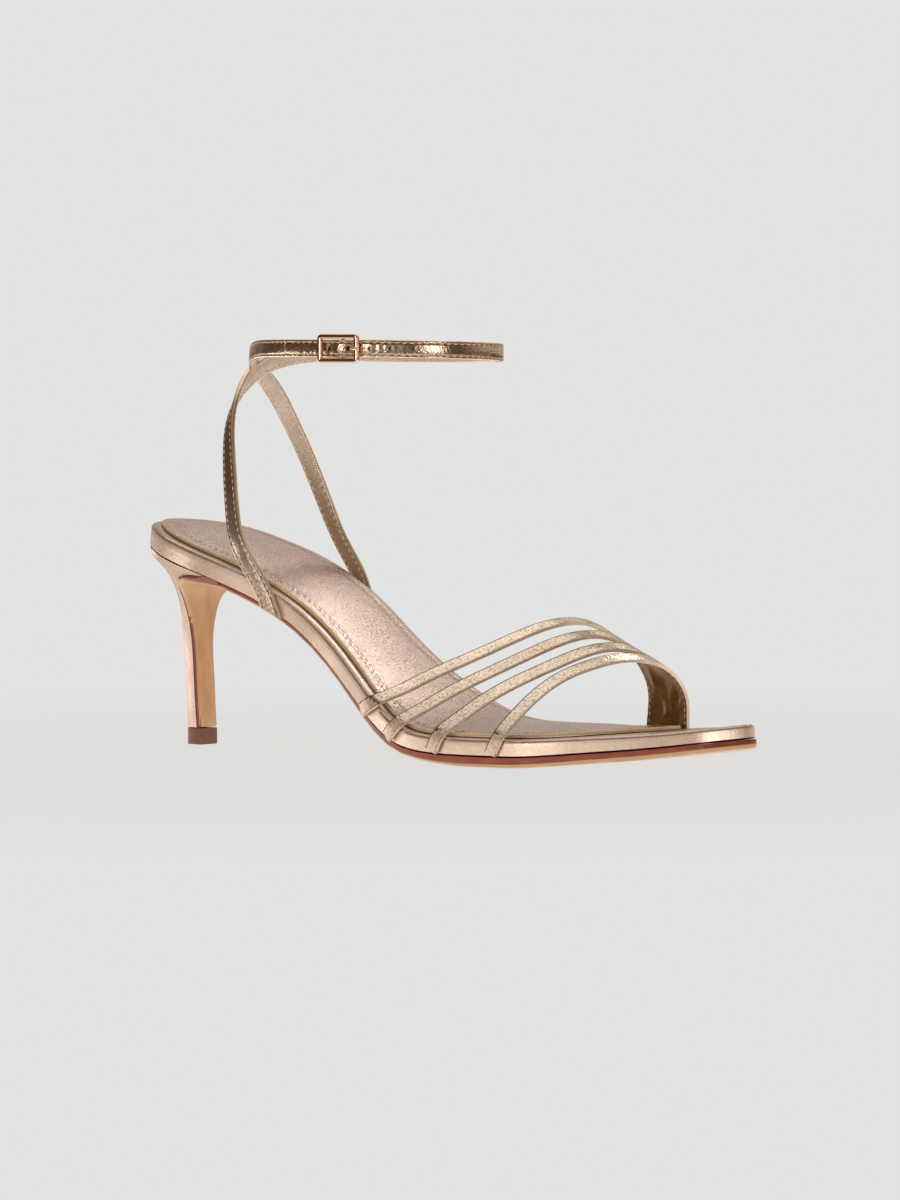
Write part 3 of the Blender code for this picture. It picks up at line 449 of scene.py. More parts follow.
soleEdge = soleLeather("stained_edge", {
    "light": (0.36, 0.066, 0.024), "dark": (0.22, 0.036, 0.013), "rough": (0.30, 0.48),
    "fibre": 180.0, "stretch": (1, 1, 6), "wax": 0.10, "bare": (0.60, 0.36, 0.18), "bareTop": (0.26, 0.32),
})
soleFace = soleLeather("sole_underside", {
    "light": (0.62, 0.36, 0.18), "dark": (0.52, 0.28, 0.13), "rough": (0.35, 0.55),
    "fibre": 90.0, "stretch": (1, 3, 1), "wax": 0.15,
})
topPieceFinish = soleLeather("top_piece_plastic", {
    "light": (0.21, 0.080, 0.030), "dark": (0.15, 0.055, 0.020), "rough": (0.50, 0.66),
    "fibre": 400.0, "stretch": (1, 1, 1), "wax": 0.0,
})


def polishedMetal(name, look):
    material, tree, shader = newFinish(name)
    feed(tree, shader, Metallic=1.0)
    haze = patternNoise(tree, look["haze"])
    wave = patternNoise(tree, look["wave"], look["waveDetail"])
    tone = ramp(tree, wave, look["dark"], look["light"])
    dress(tree, shader, tone, between(tree, haze, *look["rough"]), (wave, *look["waveBump"]))
    return material


buckleMetal = polishedMetal("buckle_metal", {
    "light": (0.86, 0.61, 0.43), "dark": (0.77, 0.52, 0.35), "rough": (0.06, 0.14),
    "haze": 700.0, "wave": 120.0, "waveDetail": 1.0, "waveBump": (0.04, 0.1),
})
print("finishes made")


# camera at the photo's place: turn and rise in degrees, sizes in mm and pixels

camera = {
    "turn": 37.5,
    "rise": 2.4,
    "distance": 2000.0,
    "focal": 6540.0,
    "aim": (117.0, 0.0, 47.87),
    "tall": 1200.0,
    "sensor": 24.0,
}
turn, rise = math.radians(camera["turn"]), math.radians(camera["rise"])
back = Vector((math.sin(turn) * math.cos(rise), -math.cos(turn) * math.cos(rise), math.sin(rise)))
lens = bpy.data.cameras.new("camera")
lens.sensor_fit = "VERTICAL"
lens.sensor_height = camera["sensor"]
lens.lens = camera["focal"] / camera["tall"] * lens.sensor_height
viewer = bpy.data.objects.new("camera", lens)
viewer.location = Vector((np.array(camera["aim"]) - footMiddle) * mm) + back * camera["distance"] * mm
viewer.rotation_euler = (-back).to_track_quat("-Z", "Y").to_euler()
bpy.context.scene.collection.objects.link(viewer)
bpy.context.scene.camera = viewer


# the insole board, wrapped in leather

board = {
    "stations": 150,
    "edgeRound": 1.1,
    "edgeSteps": 6,
    # height of the dark strip at the foot of the wall: painted shade where the board meets the sole
    "shadedFootLine": 0.26,
    "footInset": 0.8,
    "underRow": 0.5,                    # shares of the way to the middle
    "topRows": (0.12, 0.4, 0.7, 1.0),
    "wallRows": (0.35, 0.7),            # shares of the wall's height
}


def makeBoard():
    x = last["back"] + (last["front"] - last["back"]) * crowdedEnds(board["stations"])
    run = lastRun(x)
    ring = np.column_stack((thereAndBack(run, run), thereAndBack(*lastEdges(x))))
    tall = lastRead("board", thereAndBack(x, x))
    r = board["edgeRound"]
    flat = 0 * tall
    # the strip from the footInset row up to the foot line takes slot 2: painted shade where the board meets
    # the sole
    walls = [(0.0, flat, 1.0, 0), (0.0, flat, board["underRow"], 0), (board["footInset"], flat, 0.0, 2)]
    walls.append((0.0, flat + board["shadedFootLine"], 0.0, 0))
    walls += [(0.0, (tall - r) * share, 0.0, 0) for share in board["wallRows"]]
    for turned in np.radians(np.linspace(0, 90, board["edgeSteps"])):
        walls.append((r * (1 - math.cos(turned)), tall - r * (1 - math.sin(turned)), 0.0, 1))
    walls += [(r, tall, share, 1) for share in board["topRows"]]
    bm = bmesh.new()
    slabGrid(bm, ring, walls)
    piece = finishPiece("insoleBoard", bm, [wallGold, rimGold, edgePaintAndShade])
    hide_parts("insole_board")


makeBoard()
print("insole board made")


# the sock, laid inside the rim

sock = {
    "inset": 3.4,
    "thick": 1.1,
    "crown": 1.4,
    "gap": 0.1,
    "back": 5.2,
    "front": 188.0,
    "frontRound": 40.0,
    "frontSide": 22.0,
    "stations": 150,
    # the cut edge: inset, share of the thickness, slot; slot 2 at its foot is painted shade in the gap above
    # the board
    "wall": ((0.0, 0.0, 2), (0.0, 0.14, 1), (0.0, 0.78, 1), (0.12, 0.93, 1), (0.35, 1.0, 0)),
    # rows from the edge inwards and how deep the seams pull them, in mm
    "rows": (1.0, 2.0, 2.7, 3.3, 3.9, 4.5, 5.1, 6.0),
    "troughs": (0.0, 0.0, 0.02, 0.10, 0.05, 0.10, 0.02, 0.0),
    "toMiddle": (0.15, 0.4, 0.7, 1.0),
    "narrowFrom": 120.0,       # in front of this the rows run together
    "narrowRoom": 0.3,
    "stitchInset": (3.3, 4.5),
    "stitchLift": 0.05,
    "stitchEnds": (0.5, 9.0),
    "stitch": {"long": 1.7, "gap": 0.6, "thick": 0.30},
}


def sockOutline():
    x = sock["back"] + (sock["front"] - sock["back"]) * crowdedEnds(sock["stations"])
    outer, inner = lastEdges(x)
    middle = (outer + inner) / 2
    opened = (inner - outer) / 2 / roundedEnd(x - last["back"], last["heelRound"])
    half = (opened - sock["inset"]) * roundedEnd(x - sock["back"], last["heelRound"] - sock["inset"])
    front = roundedEnd(sock["front"] - x, sock["frontRound"])
    outer = sock["frontSide"] + (middle - half - sock["frontSide"]) * front
    inner = sock["frontSide"] + (middle + half - sock["frontSide"]) * front
    run = lastRun(x)
    ring = np.column_stack((thereAndBack(run, run), thereAndBack(outer, inner)))
    return ring, thereAndBack(x, x), thereAndBack(inner - outer, inner - outer)


def makeSock():
    ring, x, wide = sockOutline()
    base = lastRead("board", x) + sock["gap"]
    crown = sock["crown"] * wide / wide.max()
    thick = sock["thick"]
    half = len(ring) // 2
    reach = np.abs(ring[:half, 1] - ring[:half - 1:-1, 1]) / 2
    reach = thereAndBack(reach, reach)
    room = np.where(x > sock["narrowFrom"], reach * sock["narrowRoom"], reach.max())

    def crowned(inset, share=0.0):
        edge = np.minimum(inset / np.maximum(reach, inset), 1.0)
        return base + thick + crown * (1 - ((1 - edge) * (1 - share)) ** 2)

    # the underside and the foot of the cut edge take slot 2: painted shade under the sock
    walls = [(0.0, base, 1.0, 2)]
    walls += [(inset, base + thick * share, 0.0, slot) for inset, share, slot in sock["wall"]]
    for inset, trough in zip(sock["rows"], sock["troughs"]):
        walls.append((np.minimum(inset, room), crowned(np.minimum(inset, room)) - trough, 0.0, 0))
    inner = np.minimum(sock["rows"][-1], room)
    walls += [(inner, crowned(inner, share), share, 0) for share in sock["toMiddle"]]
    bm = bmesh.new()
    slabGrid(bm, ring, walls)
    piece = finishPiece("sockPad", bm, [sockFoil, sockEdge, edgePaintAndShade])
    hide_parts("sock_pad")
    # two rows of stitches round the edge
    seams = bmesh.new()
    fromBack, fromFront = sock["stitchEnds"]
    for inset in sock["stitchInset"]:
        moved = insetOutline(ring, inset)
        lift = crowned(inset) - max(sock["troughs"]) + sock["stitchLift"]
        keep = (moved[:, 0] > moved[:, 0].min() + fromBack) & (x < sock["front"] - fromFront)
        keep = np.flatnonzero(keep)
        for part in np.split(keep, np.flatnonzero(np.diff(keep) > 1) + 1):
            line = onLast(moved[part, 0], moved[part, 1], lift[part])
            above = onLast(moved[part, 0], moved[part, 1], lift[part] + 1.0)
            stitchLine(seams, line, above - line, sock["stitch"])
    seam = finishPiece("sockStitches", seams, [thread], recalc=False)


makeSock()
print("sock made")


# heel, outsole and top-piece keep their solids' shapes but for small closing shapes

heel = {
    "middle": (-0.088, 0.0),   # metres, as are the next two
    "flareFront": 0.008,
    "flareFrom": 0.012,
    "flare": 0.8,
    "flareDeep": 5.0,
    "joinAngles": (40.0, 60.0),
}


def makeHeel():
    bm = copyNode("heel")
    for v in bm.verts:
        x = v.co.x / mm + footMiddle[0]
        under = np.interp(x, lineX, lineZ) - v.co.z / mm
        away = Vector((v.co.x - heel["middle"][0], v.co.y - heel["middle"][1], 0.0))
        if away.x < heel["flareFront"] and away.length > heel["flareFrom"]:
            share = float(1 - softStep(under, 0.0, heel["flareDeep"]))
            v.co += away.normalized() * heel["flare"] * mm * share
    flat, square = np.radians(heel["joinAngles"]).tolist()
    bmesh.ops.join_triangles(bm, faces=bm.faces, angle_face_threshold=flat, angle_shape_threshold=square)
    piece = finishPiece("heelCover", bm, [heelGold], smoothAngle=38)
    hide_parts("heel")


outsole = {
    "topTilt": 0.7,        # how far a face looks up or down
    "underTilt": -0.6,
    "wallTilt": 0.4,
    "faceTilt": 0.12,
    "flapTilt": 0.28,
    "flapFront": -0.066,   # metres
    "stainedBack": -0.004,   # metres, behind this the whole edge is stained
    "lowerEdge": 0.6,
    "bareX": (0.0, 40.0, 90.0),   # mm, where edgeHeight starts higher or lower
    "bareFrom": (0.34, 0.20, 0.0),
    "fillX": (-92.0, -86.0, -80.6, -74.5, -69.0, -66.5, -64.0),   # mm, where the top closes up to the heel
    "fill": (0.0, 0.12, 0.8, 1.25, 0.5, 0.05, 0.0),
}


def makeOutsole():
    bm = copyNode("outsole")
    height = bm.verts.layers.float.new("edgeHeight")
    for x in outsole["fillX"][1:-1]:
        geometry = bm.verts[:] + bm.edges[:] + bm.faces[:]
        bmesh.ops.bisect_plane(bm, geom=geometry, plane_co=(x * mm, 0, 0), plane_no=(1, 0, 0))
    bm.normal_update()
    upper = [v for v in bm.verts if max(face.normal.z for face in v.link_faces) > outsole["topTilt"]]
    for v in upper:
        v.co.z += float(np.interp(v.co.x / mm, outsole["fillX"], outsole["fill"])) * mm
    for v in bm.verts:
        v[height] = 1.0
        if v.co.x > outsole["flapFront"]:
            v[height] = float(np.interp(v.co.x / mm, outsole["bareX"], outsole["bareFrom"]))
    for v in upper:
        v[height] = 1.0
    bm.normal_update()
    lower = []
    for edge in bm.edges:
        tilts = sorted(face.normal.z for face in edge.link_faces)
        if len(tilts) != 2 or edge.verts[0].co.x <= outsole["flapFront"]:
            continue
        if tilts[0] < outsole["underTilt"] and abs(tilts[1]) < outsole["wallTilt"]:
            lower.append(edge)
    slopes = bmesh.ops.bevel(bm, geom=lower, offset=outsole["lowerEdge"] * mm, offset_type="OFFSET",
                             affect="EDGES", segments=1, profile=0.5, material=-1, clamp_overlap=True)
    slopes = set(slopes["faces"])
    bm.normal_update()
    for face in bm.faces:
        x = face.calc_center_median().x
        if face in slopes and x < outsole["stainedBack"]:
            tan = False
        elif x > outsole["flapFront"]:
            tan = -face.normal.z > outsole["faceTilt"]
        else:
            tan = max(face.normal.x, -face.normal.z) > outsole["flapTilt"]
        face.material_index = 1 if tan else 0
    piece = finishPiece("soleLeather", bm, [soleEdge, soleFace], smoothAngle=32)
    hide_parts("outsole")


def makeTopPiece():
    bm = copyNode("top_piece")
    bmesh.ops.dissolve_limit(bm, angle_limit=math.radians(1), verts=bm.verts, edges=bm.edges)
    piece = finishPiece("topPiece", bm, [topPieceFinish], smoothAngle=30)
    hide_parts("top_piece")


makeHeel()
makeOutsole()
makeTopPiece()
print("heel, outsole and top-piece made")


# vamp straps: four bands of one sheet

vamp = {
    "outerX": [107.4, 120.7, 139.9, 161.3],
    "innerX": [166.5, 170.9, 175.3, 179.7],
    "crest": [31.3, 29.3, 26.2, 22.5],
    "sag": [0.7, 2.2, 2.5, 0.3],
    "wide": [4.2, 4.0, 4.0, 3.7],
    "thick": 1.4,
    "across": [0.08, 0.20, 0.35, 0.50, 0.64, 0.76, 0.87, 0.96, 1.0],
    "rear": [0.12, 0.32, 0.55, 0.77, 0.94, 0.98, 0.85, 0.62, 0.38],
    "front": [0.26, 0.56, 0.81, 0.94, 1.0, 0.98, 0.88, 0.66, 0.40],
    "sagShare": [0.25, 0.70, 1.0, 0.85, 0.45, 0.15, 0.0, 0.0, 0.0],
    "join": (0.60, 0.74),
    "lean": (0.4, 0.9),
    "axisY": 4.0,
    "halfWidth": 36.0,
    "wallClear": 0.5,
    "wallFoot": 0.9,
    "footLean": 2.0,
    "footTop": 1.7,
    "leather": 1.1,      # what shows of the sheet's thickness
    "softEdge": 0.14,
    "softAngle": 60.0,
    "stations": 150,
    "columns": (0.0, 0.05, 0.08, 0.3, 0.5, 0.7, 0.93, 0.96, 1.0),
    # slot 3 gives dark strips: edge paint with painted shade along the rear edge, and painted shade in the
    # crease just inside the front edge
    "slots": (3, 3, 0, 0, 0, 0, 3, 0),
    "footSlot": 6,
    "puff": 0.06,
    "creases": (
        # start and end on the joined band (along, across in straps), depth and half width in mm
        ((0.80, 3.3), (0.99, 1.1), 0.45, 1.0),
        ((0.99, 3.2), (0.84, 0.9), 0.40, 0.9),
        ((0.86, 3.9), (0.94, 2.2), 0.35, 0.8),
        ((0.78, 1.4), (0.90, 0.5), 0.30, 0.9),
        ((0.93, 3.8), (1.00, 2.6), 0.30, 0.7),
    ),
    "creaseEnds": (0.04, 0.96),
    "sheetSize": (95.0, 3.4),      # mm, the band's length and a joined strap's width
    "seamInset": (0.22, 0.78),
    "seamRun": (0.74, 0.97),
    "seamLift": 0.05,
    "stitch": {"long": 1.3, "gap": 0.7, "thick": 0.34},
}


def wallPlace(x, side, clear, lift):
    outer, inner = lastEdges(np.array([x]))
    edge = inner[0] if side > 0 else -outer[0]
    return onLast(lastRun(np.array([x])), side * (edge + clear), lift)[0]


def vampBand(number):
    outerX, innerX, crest = vamp["outerX"][number], vamp["innerX"][number], vamp["crest"][number]
    rearShare = 1 - number / 3
    clear = vamp["wallClear"] + vamp["thick"] / 2
    boardOuter, boardInner = lastRead("board", np.array([outerX, innerX]))
    foot = wallPlace(outerX - vamp["footLean"], -1, clear, vamp["wallFoot"])
    start = [foot, wallPlace(outerX, -1, clear, boardOuter)]
    finish = [wallPlace(innerX, 1, clear, boardInner), wallPlace(innerX, 1, clear, vamp["wallFoot"])]
    rise = np.array(vamp["rear"]) * rearShare + np.array(vamp["front"]) * (1 - rearShare)
    arch = start[1] + np.outer(vamp["across"], finish[0] - start[1])
    arch[:, 2] += crest * rise - vamp["sag"][number] * np.array(vamp["sagShare"])
    knots = np.vstack((start, arch, finish))
    run = runOf(knots)
    points = smoothRead(run, knots, np.linspace(0, run[-1], vamp["stations"]))
    ahead = unitRows(np.gradient(points, axis=0))
    share = np.linspace(1, 0, vamp["stations"])
    rim = points[0, 2] * share + points[-1, 2] * (1 - share)
    height = np.clip((points[:, 2] - rim) / crest, 0, 1)
    spread = edgeSlope(outerX, "outer") * share + edgeSlope(innerX, "inner") * (1 - share)
    lean = vamp["lean"][0] * share + vamp["lean"][1] * (1 - share)
    outward = (points[:, 1] - vamp["axisY"]) / vamp["halfWidth"]
    out = np.column_stack((lean * height - spread * (1 - height), outward, height))
    out = unitRows(out - ahead * np.sum(out * ahead, axis=1, keepdims=True))
    across = unitRows(np.cross(out, ahead)) * vamp["wide"][number] / 2
    return points + across, points - across, out


def makeVamp():
    bands = [vampBand(number) for number in range(4)]
    along = np.linspace(0, 1, vamp["stations"])
    joined = softStep(along, *vamp["join"])
    for number in range(3):
        meet = (bands[number][1] + bands[number + 1][0]) / 2
        bands[number][1][:] += (meet - bands[number][1]) * joined[:, None]
        bands[number + 1][0][:] += (meet - bands[number + 1][0]) * joined[:, None]
    bm = bmesh.new()
    share = np.array(vamp["columns"])
    size = np.array(vamp["sheetSize"])
    for number, (rear, front, out) in enumerate(bands):
        puff = vamp["puff"] * (1 - (2 * share - 1) ** 2)[:, None] * (1 - joined)[None]
        spot = np.stack(np.broadcast_arrays(along[None], number + share[:, None]), axis=-1) * size
        for start, end, depth, half in vamp["creases"]:
            first = np.array(start) * size
            line = np.array(end) * size - first
            reach = np.clip(((spot - first) @ line) / (line @ line), 0, 1)
            away = np.linalg.norm(spot - first - reach[..., None] * line, axis=-1)
            fade = np.sin(np.pi * np.clip(reach, *vamp["creaseEnds"]))
            puff = puff - depth * np.exp(-(away / half) ** 2) * fade * joined
        rows = rear[None] + (front - rear)[None] * share[:, None, None] + puff[..., None] * out[None]
        bentGrid(bm, rows, vamp["slots"])
    bmesh.ops.remove_doubles(bm, verts=bm.verts, dist=weld)
    bm.normal_update()
    for face in bm.faces:
        spot = face.calc_center_median()
        x = spot.x / mm + footMiddle[0]
        rim = float(lastRead("z", x)[0] + lastRead("board", x)[0])
        if spot.y < 0 and spot.z / mm < rim + vamp["footTop"] and face.material_index == 0:
            face.material_index = vamp["footSlot"]
    top = max(bm.faces, key=lambda face: face.calc_center_median().z)
    if top.normal.z < 0:
        bmesh.ops.reverse_faces(bm, faces=bm.faces)
    backs = [panelLining, vampEdge]
    piece = finishPiece("vampStraps", bm, [gold, *backs, edgePaintAndShade, *backs, footGold, *backs], recalc=False)
    wall = piece.modifiers.new("leather", "SOLIDIFY")
    wall.thickness = vamp["leather"] * mm
    wall.offset = 0.0
    wall.material_offset = 1
    wall.material_offset_rim = 2
    edge = piece.modifiers.new("soft edge", "BEVEL")
    edge.width = vamp["softEdge"] * mm
    edge.segments = 2
    edge.limit_method = "ANGLE"
    edge.angle_limit = math.radians(vamp["softAngle"])
    edge.harden_normals = True
    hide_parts("vamp_straps")
    # a seam along each edge of the joined band, seen from inside
    seams = bmesh.new()
    begin, end = (int(reach * vamp["stations"]) for reach in vamp["seamRun"])
    for (rear, front, out), inset in zip((bands[3], bands[0]), vamp["seamInset"]):
        line = rear + (front - rear) * (1 - inset) - out * (vamp["leather"] / 2 + vamp["seamLift"])
        stitchLine(seams, line[begin:end], -out[begin:end], vamp["stitch"])
    seam = finishPiece("vampStitches", seams, [sockEdge], recalc=False)


makeVamp()
print("vamp straps made")


# ankle straps: quarter straps crossed behind the ankle, and the buckled loop

ankle = {
    "quarterX": [54.6, 50.6, 44.6, 42.0, 41.2, 42.2],
    "quarterOut": [26.0, 23.9, 18.2, 14.3, 7.6, 0.0],
    "quarterZ": [64.5, 74.4, 93.3, 102.4, 112.2, 118.2],
    "outerFacing": [1.0, 6.0, 16.0, 29.0, 58.0, 90.0],
    "innerFacing": [-8.0, 0.0, 8.0, 16.0, 50.0, 90.0],
    "baseX": 59.8,
    "baseLean": 8.5,
    "foot": -2.5,
    "footCut": (57.0, 69.0),
    "footBelow": 60.0,
    "innerShift": -1.2,
    "innerFade": (60.0, 95.0),
    "endLift": 0.2,
    "wide": 5.4,
    "thick": 1.5,
    "lap": 1.1,
    "lapHeights": (90.0, 113.0),
    "step": 0.4,
    "loopMiddle": 89.5,
    "loopLong": 41.0,
    "loopWide": 30.5,
    "loopLevel": 124.8,
    "loopDrop": 1.8,
    "loopStart": 42.0,       # turns round the loop, in degrees
    "loopStep": 16.0,
    "longEnd": 30.0,
    "shortEnd": 334.0,
    "buckleTurn": 76.3,
    "lift": 1.75,
    "liftEnd": 35.0,
    "bulge": 1.2,
    "tailKnots": (8.0, 6.2, 0.0, -6.2, -8.0, -13.0, -17.0),
    "pastBuckle": 21.5,
    "tipCorner": 1.5,
    "tipTurn": 0.7,      # pale turned edge at the tail's tip
    "shortKnots": (-13.0, -8.0),
    "foldFrom": -3.0,
    "foldThick": 0.7,
    "foldThinning": 6.0,
    "foldGap": 0.2,
    "foldTurn": 200.0,
    "foldSteps": 14,
    "barRadius": 0.6,
    "barLift": 0.35,
    "section": {
        "round": 0.3,
        "crown": 0.06,
        "shoulder": (0.45, 0.05),
        "stitchIn": 0.85,
        "groove": (0.30, 0.26),   # half widths on the inner and outer side
        "grooveDeep": 0.14,
        "grooveLip": 0.01,
        "liningGroove": 0.12,
        "edgeDrop": 0.03,
    },
    "seamStart": 7.0,
    "seamEnds": (2.0, 24.0),
    "threadSink": 0.08,
    "liningLift": 0.02,
    "stitch": {"long": 1.5, "gap": 0.8, "thick": 0.40},
    "liningStitch": {"long": 1.6, "gap": 0.7, "thick": 0.54},
    "wrinkles": (        # across the tail: place from the bar, depth, half width
        (-9.0, 0.16, 0.6),
        (-10.4, 0.20, 0.55),
        (-11.7, 0.14, 0.6),
        (-13.2, 0.20, 0.7),
        (12.5, 0.14, 0.8),
        (14.6, 0.12, 0.7),
        (19.0, 0.10, 0.9),
    ),
    "holes": (-1, 0, 1, 2, 3),
    "holeAt": 3.3,
    "holeSpacing": 6.5,
    "holeRadius": 0.8,
    "holeDeep": 4.6,
}


def quarterRows(side):
    clear = vamp["wallClear"] + ankle["thick"] / 2
    facing = math.degrees(math.atan(edgeSlope(ankle["baseX"], "outer" if side < 0 else "inner")))
    wall = lastRead("board", ankle["baseX"])[0]
    rows = [[*wallPlace(ankle["baseX"] + ankle["baseLean"], side, clear, ankle["foot"]), facing],
            [*wallPlace(ankle["baseX"], side, clear, wall), facing]]
    turns = ankle["outerFacing"] if side < 0 else ankle["innerFacing"]
    for x, out, z, turned in zip(ankle["quarterX"], ankle["quarterOut"], ankle["quarterZ"], turns):
        rows.append([x, side * out, z, turned])
    rows = np.array(rows)
    if side > 0:
        rows[:, 0] += ankle["innerShift"] * (1 - softStep(rows[:, 2], *ankle["innerFade"]))
    return rows


def loopRows(turns):
    turned = np.radians(turns)
    x = ankle["loopMiddle"] + ankle["loopLong"] * np.cos(turned)
    y = ankle["loopWide"] * np.sin(turned)
    z = ankle["loopLevel"] - ankle["loopDrop"] * (1 + np.sin(turned)) / 2
    normal = np.arctan2(np.sin(turned) / ankle["loopWide"], np.cos(turned) / ankle["loopLong"])
    return np.column_stack((x, y, z)), np.degrees(normal)


buckleSpot, buckleFacing = loopRows(np.array([-ankle["buckleTurn"]]))
buckleSpot, buckleFacing = buckleSpot[0], buckleFacing[0]
buckleOut = np.array([math.cos(math.radians(buckleFacing)), math.sin(math.radians(buckleFacing)), 0.0])
buckleAlong = np.array([-buckleOut[1], buckleOut[0], 0.0])
loopRadius = ankle["loopLong"] ** 2 / ankle["loopWide"]


def atBuckle(along, out, up=0.0):
    return buckleSpot + buckleAlong * along + buckleOut * out + upright * up


def bow(along):
    return loopRadius - math.sqrt(loopRadius ** 2 - along ** 2)


def sweepTurn(along):
    return math.degrees(math.asin(-along / loopRadius))


def strapPath(rows):
    rows = np.asarray(rows)
    run = runOf(rows)
    places = np.linspace(0, run[-1], int(run[-1] / ankle["step"]) + 1)
    smooth = smoothRead(run, rows, places)
    return smooth[:, :3], smooth[:, 3], run[-1] - places


def longStrapPath():
    quarter = quarterRows(-1)
    quarter[:, 3] = 270.0 - quarter[:, 3]
    turns = np.arange(180.0 - ankle["loopStart"], ankle["longEnd"] - ankle["buckleTurn"], -ankle["loopStep"])
    places, normal = loopRows(turns)
    lift = ankle["lift"] * softStep(-turns, 0.0, ankle["buckleTurn"] - ankle["liftEnd"])
    places = places + sideways(np.radians(normal)) * lift[:, None]
    rows = [*quarter, *np.column_stack((places, normal))]
    for along in (*ankle["tailKnots"], -ankle["pastBuckle"]):
        rises = ankle["bulge"] if along == 0 else 0.0
        rows.append([*atBuckle(along, ankle["lift"] + rises - bow(along)), buckleFacing - sweepTurn(along)])
    points, facings, left = strapPath(rows)
    for place, depth, half in ankle["wrinkles"]:
        away = left - ankle["pastBuckle"] - place
        dip = depth * np.exp(-(away / half) ** 2)
        points -= sideways(np.radians(facings)) * dip[:, None]
    return points, facings, left


def shortStrapPath():
    quarter = quarterRows(1)
    quarter[:, 3] = 90.0 + quarter[:, 3]
    lap = ankle["lap"] * softStep(quarter[:, 2], *ankle["lapHeights"])
    quarter[:, :3] += sideways(np.radians(quarter[:, 3])) * lap[:, None]
    turns = np.arange(180.0 + ankle["loopStart"], ankle["shortEnd"] - ankle["buckleTurn"], ankle["loopStep"])
    places, normal = loopRows(turns)
    rows = [*quarter, *np.column_stack((places, np.mod(normal, 360.0)))]
    facing = buckleFacing % 360.0
    for along in ankle["shortKnots"]:
        rows.append([*atBuckle(along, -bow(along)), facing - sweepTurn(along)])
    fold = ankle["barRadius"] + ankle["foldGap"] + ankle["foldThick"] / 2
    rows.append([*atBuckle(ankle["foldFrom"], ankle["barLift"] - fold), facing])
    points, facings, left = strapPath(rows)
    bend = np.radians(np.linspace(0, ankle["foldTurn"], ankle["foldSteps"]))
    folded = np.array([atBuckle(fold * math.sin(b), ankle["barLift"] - fold * math.cos(b)) for b in bend])
    thinning = 1 - softStep(left, 0.0, ankle["foldThinning"])
    thick = ankle["thick"] + (ankle["foldThick"] - ankle["thick"]) * thinning
    thick = np.concatenate((thick, np.full(len(bend), ankle["foldThick"])))
    return np.vstack((points, folded)), np.concatenate((facings, facing - np.degrees(bend))), thick


def strapFrames(points, facings):
    ahead = unitRows(np.gradient(points, axis=0))
    out = sideways(np.radians(facings))
    out = unitRows(out - ahead * np.sum(out * ahead, axis=1, keepdims=True))
    return np.cross(ahead, out), out


def strapSection(half, deep):
    # one half of the section from the middle of the face to the middle of the lining: up, out, slot
    section = ankle["section"]
    r = min(section["round"], deep * 0.5)
    seam = half - section["stitchIn"]
    before, after = seam - section["groove"][0], seam + section["groove"][1]
    # slot 3 on the stitch groove's faces is painted shade
    side = [
        (0.0, deep + section["crown"], 0),
        (half * section["shoulder"][0], deep + section["shoulder"][1], 0),
        (before, deep, 3),
        (seam, deep - section["grooveDeep"], 3),
        (after, deep + section["grooveLip"], 0),
        (half - r, deep - section["edgeDrop"], 2),
        (half - r * 0.3, deep - r * 0.4, 2),
        (half, deep - r, 2),
        (half, r - deep, 2),
        (half - r * 0.3, r * 0.4 - deep, 2),
        (half - r, section["edgeDrop"] - deep, 1),
        (after, -deep, 1),
        (seam, section["liningGroove"] - deep, 1),
        (before, -deep, 1),
    ]
    other = [(-a, b) for a, b, _ in reversed(side[1:])]
    pairs = [(a, b) for a, b, _ in side] + [(0.0, -deep)] + other
    slots = [slot for _, _, slot in side]
    return pairs, slots + slots[::-1]


def makeStrap(name, points, facings, wide, thick, seamEnd):
    ups, outs = strapFrames(points, facings)
    sections = [strapSection(w / 2, t / 2) for w, t in zip(wide, thick)]
    bm = bmesh.new()
    tubeGrid(bm, points, ups, outs, [pairs for pairs, _ in sections], sections[0][1])
    fillEnds(bm)
    tip, ahead = Vector((points[-1] - footMiddle) * mm), Vector(unitRows(points[-1] - points[-3]))
    for face in bm.faces:
        reach = face.calc_center_median() - tip
        if reach.length < ankle["wide"] * mm and reach.dot(ahead) > -ankle["tipTurn"] * mm:
            face.material_index = 2
    # the foot of the strap ends along the sole line
    cut = onLast(lastRun(np.array(ankle["footCut"])), 0.0, ankle["endLift"])
    along = unitRows(cut[1] - cut[0])
    normal = Vector((along[2], 0.0, -along[0]))
    middle = Vector((cut.mean(axis=0) - footMiddle) * mm)
    low = [face for face in bm.faces if face.calc_center_median().z < ankle["footBelow"] * mm]
    geometry = list({v for face in low for v in face.verts}) + list({e for face in low for e in face.edges})
    bmesh.ops.bisect_plane(bm, geom=geometry + low, plane_co=middle, plane_no=normal, clear_outer=True)
    fillEnds(bm)
    seams = bmesh.new()
    deep = np.asarray(thick)[:, None] / 2
    keep = slice(int(ankle["seamStart"] / ankle["step"]), len(points) - int(seamEnd / ankle["step"]))
    for side in (-1, 1):
        line = points + ups * side * (np.asarray(wide)[:, None] / 2 - ankle["section"]["stitchIn"])
        stitchLine(seams, (line + outs * (deep - ankle["threadSink"]))[keep], outs[keep], ankle["stitch"])
        inner = line - outs * (deep + ankle["liningLift"])
        stitchLine(seams, inner[keep], -outs[keep], ankle["liningStitch"])
    seam = finishPiece(name + "Stitches", seams, [thread], recalc=False)
    return finishPiece(name, bm, [ankleGold, lining, foldedEdge, groove, edgePaintAndShade], smoothAngle=50)


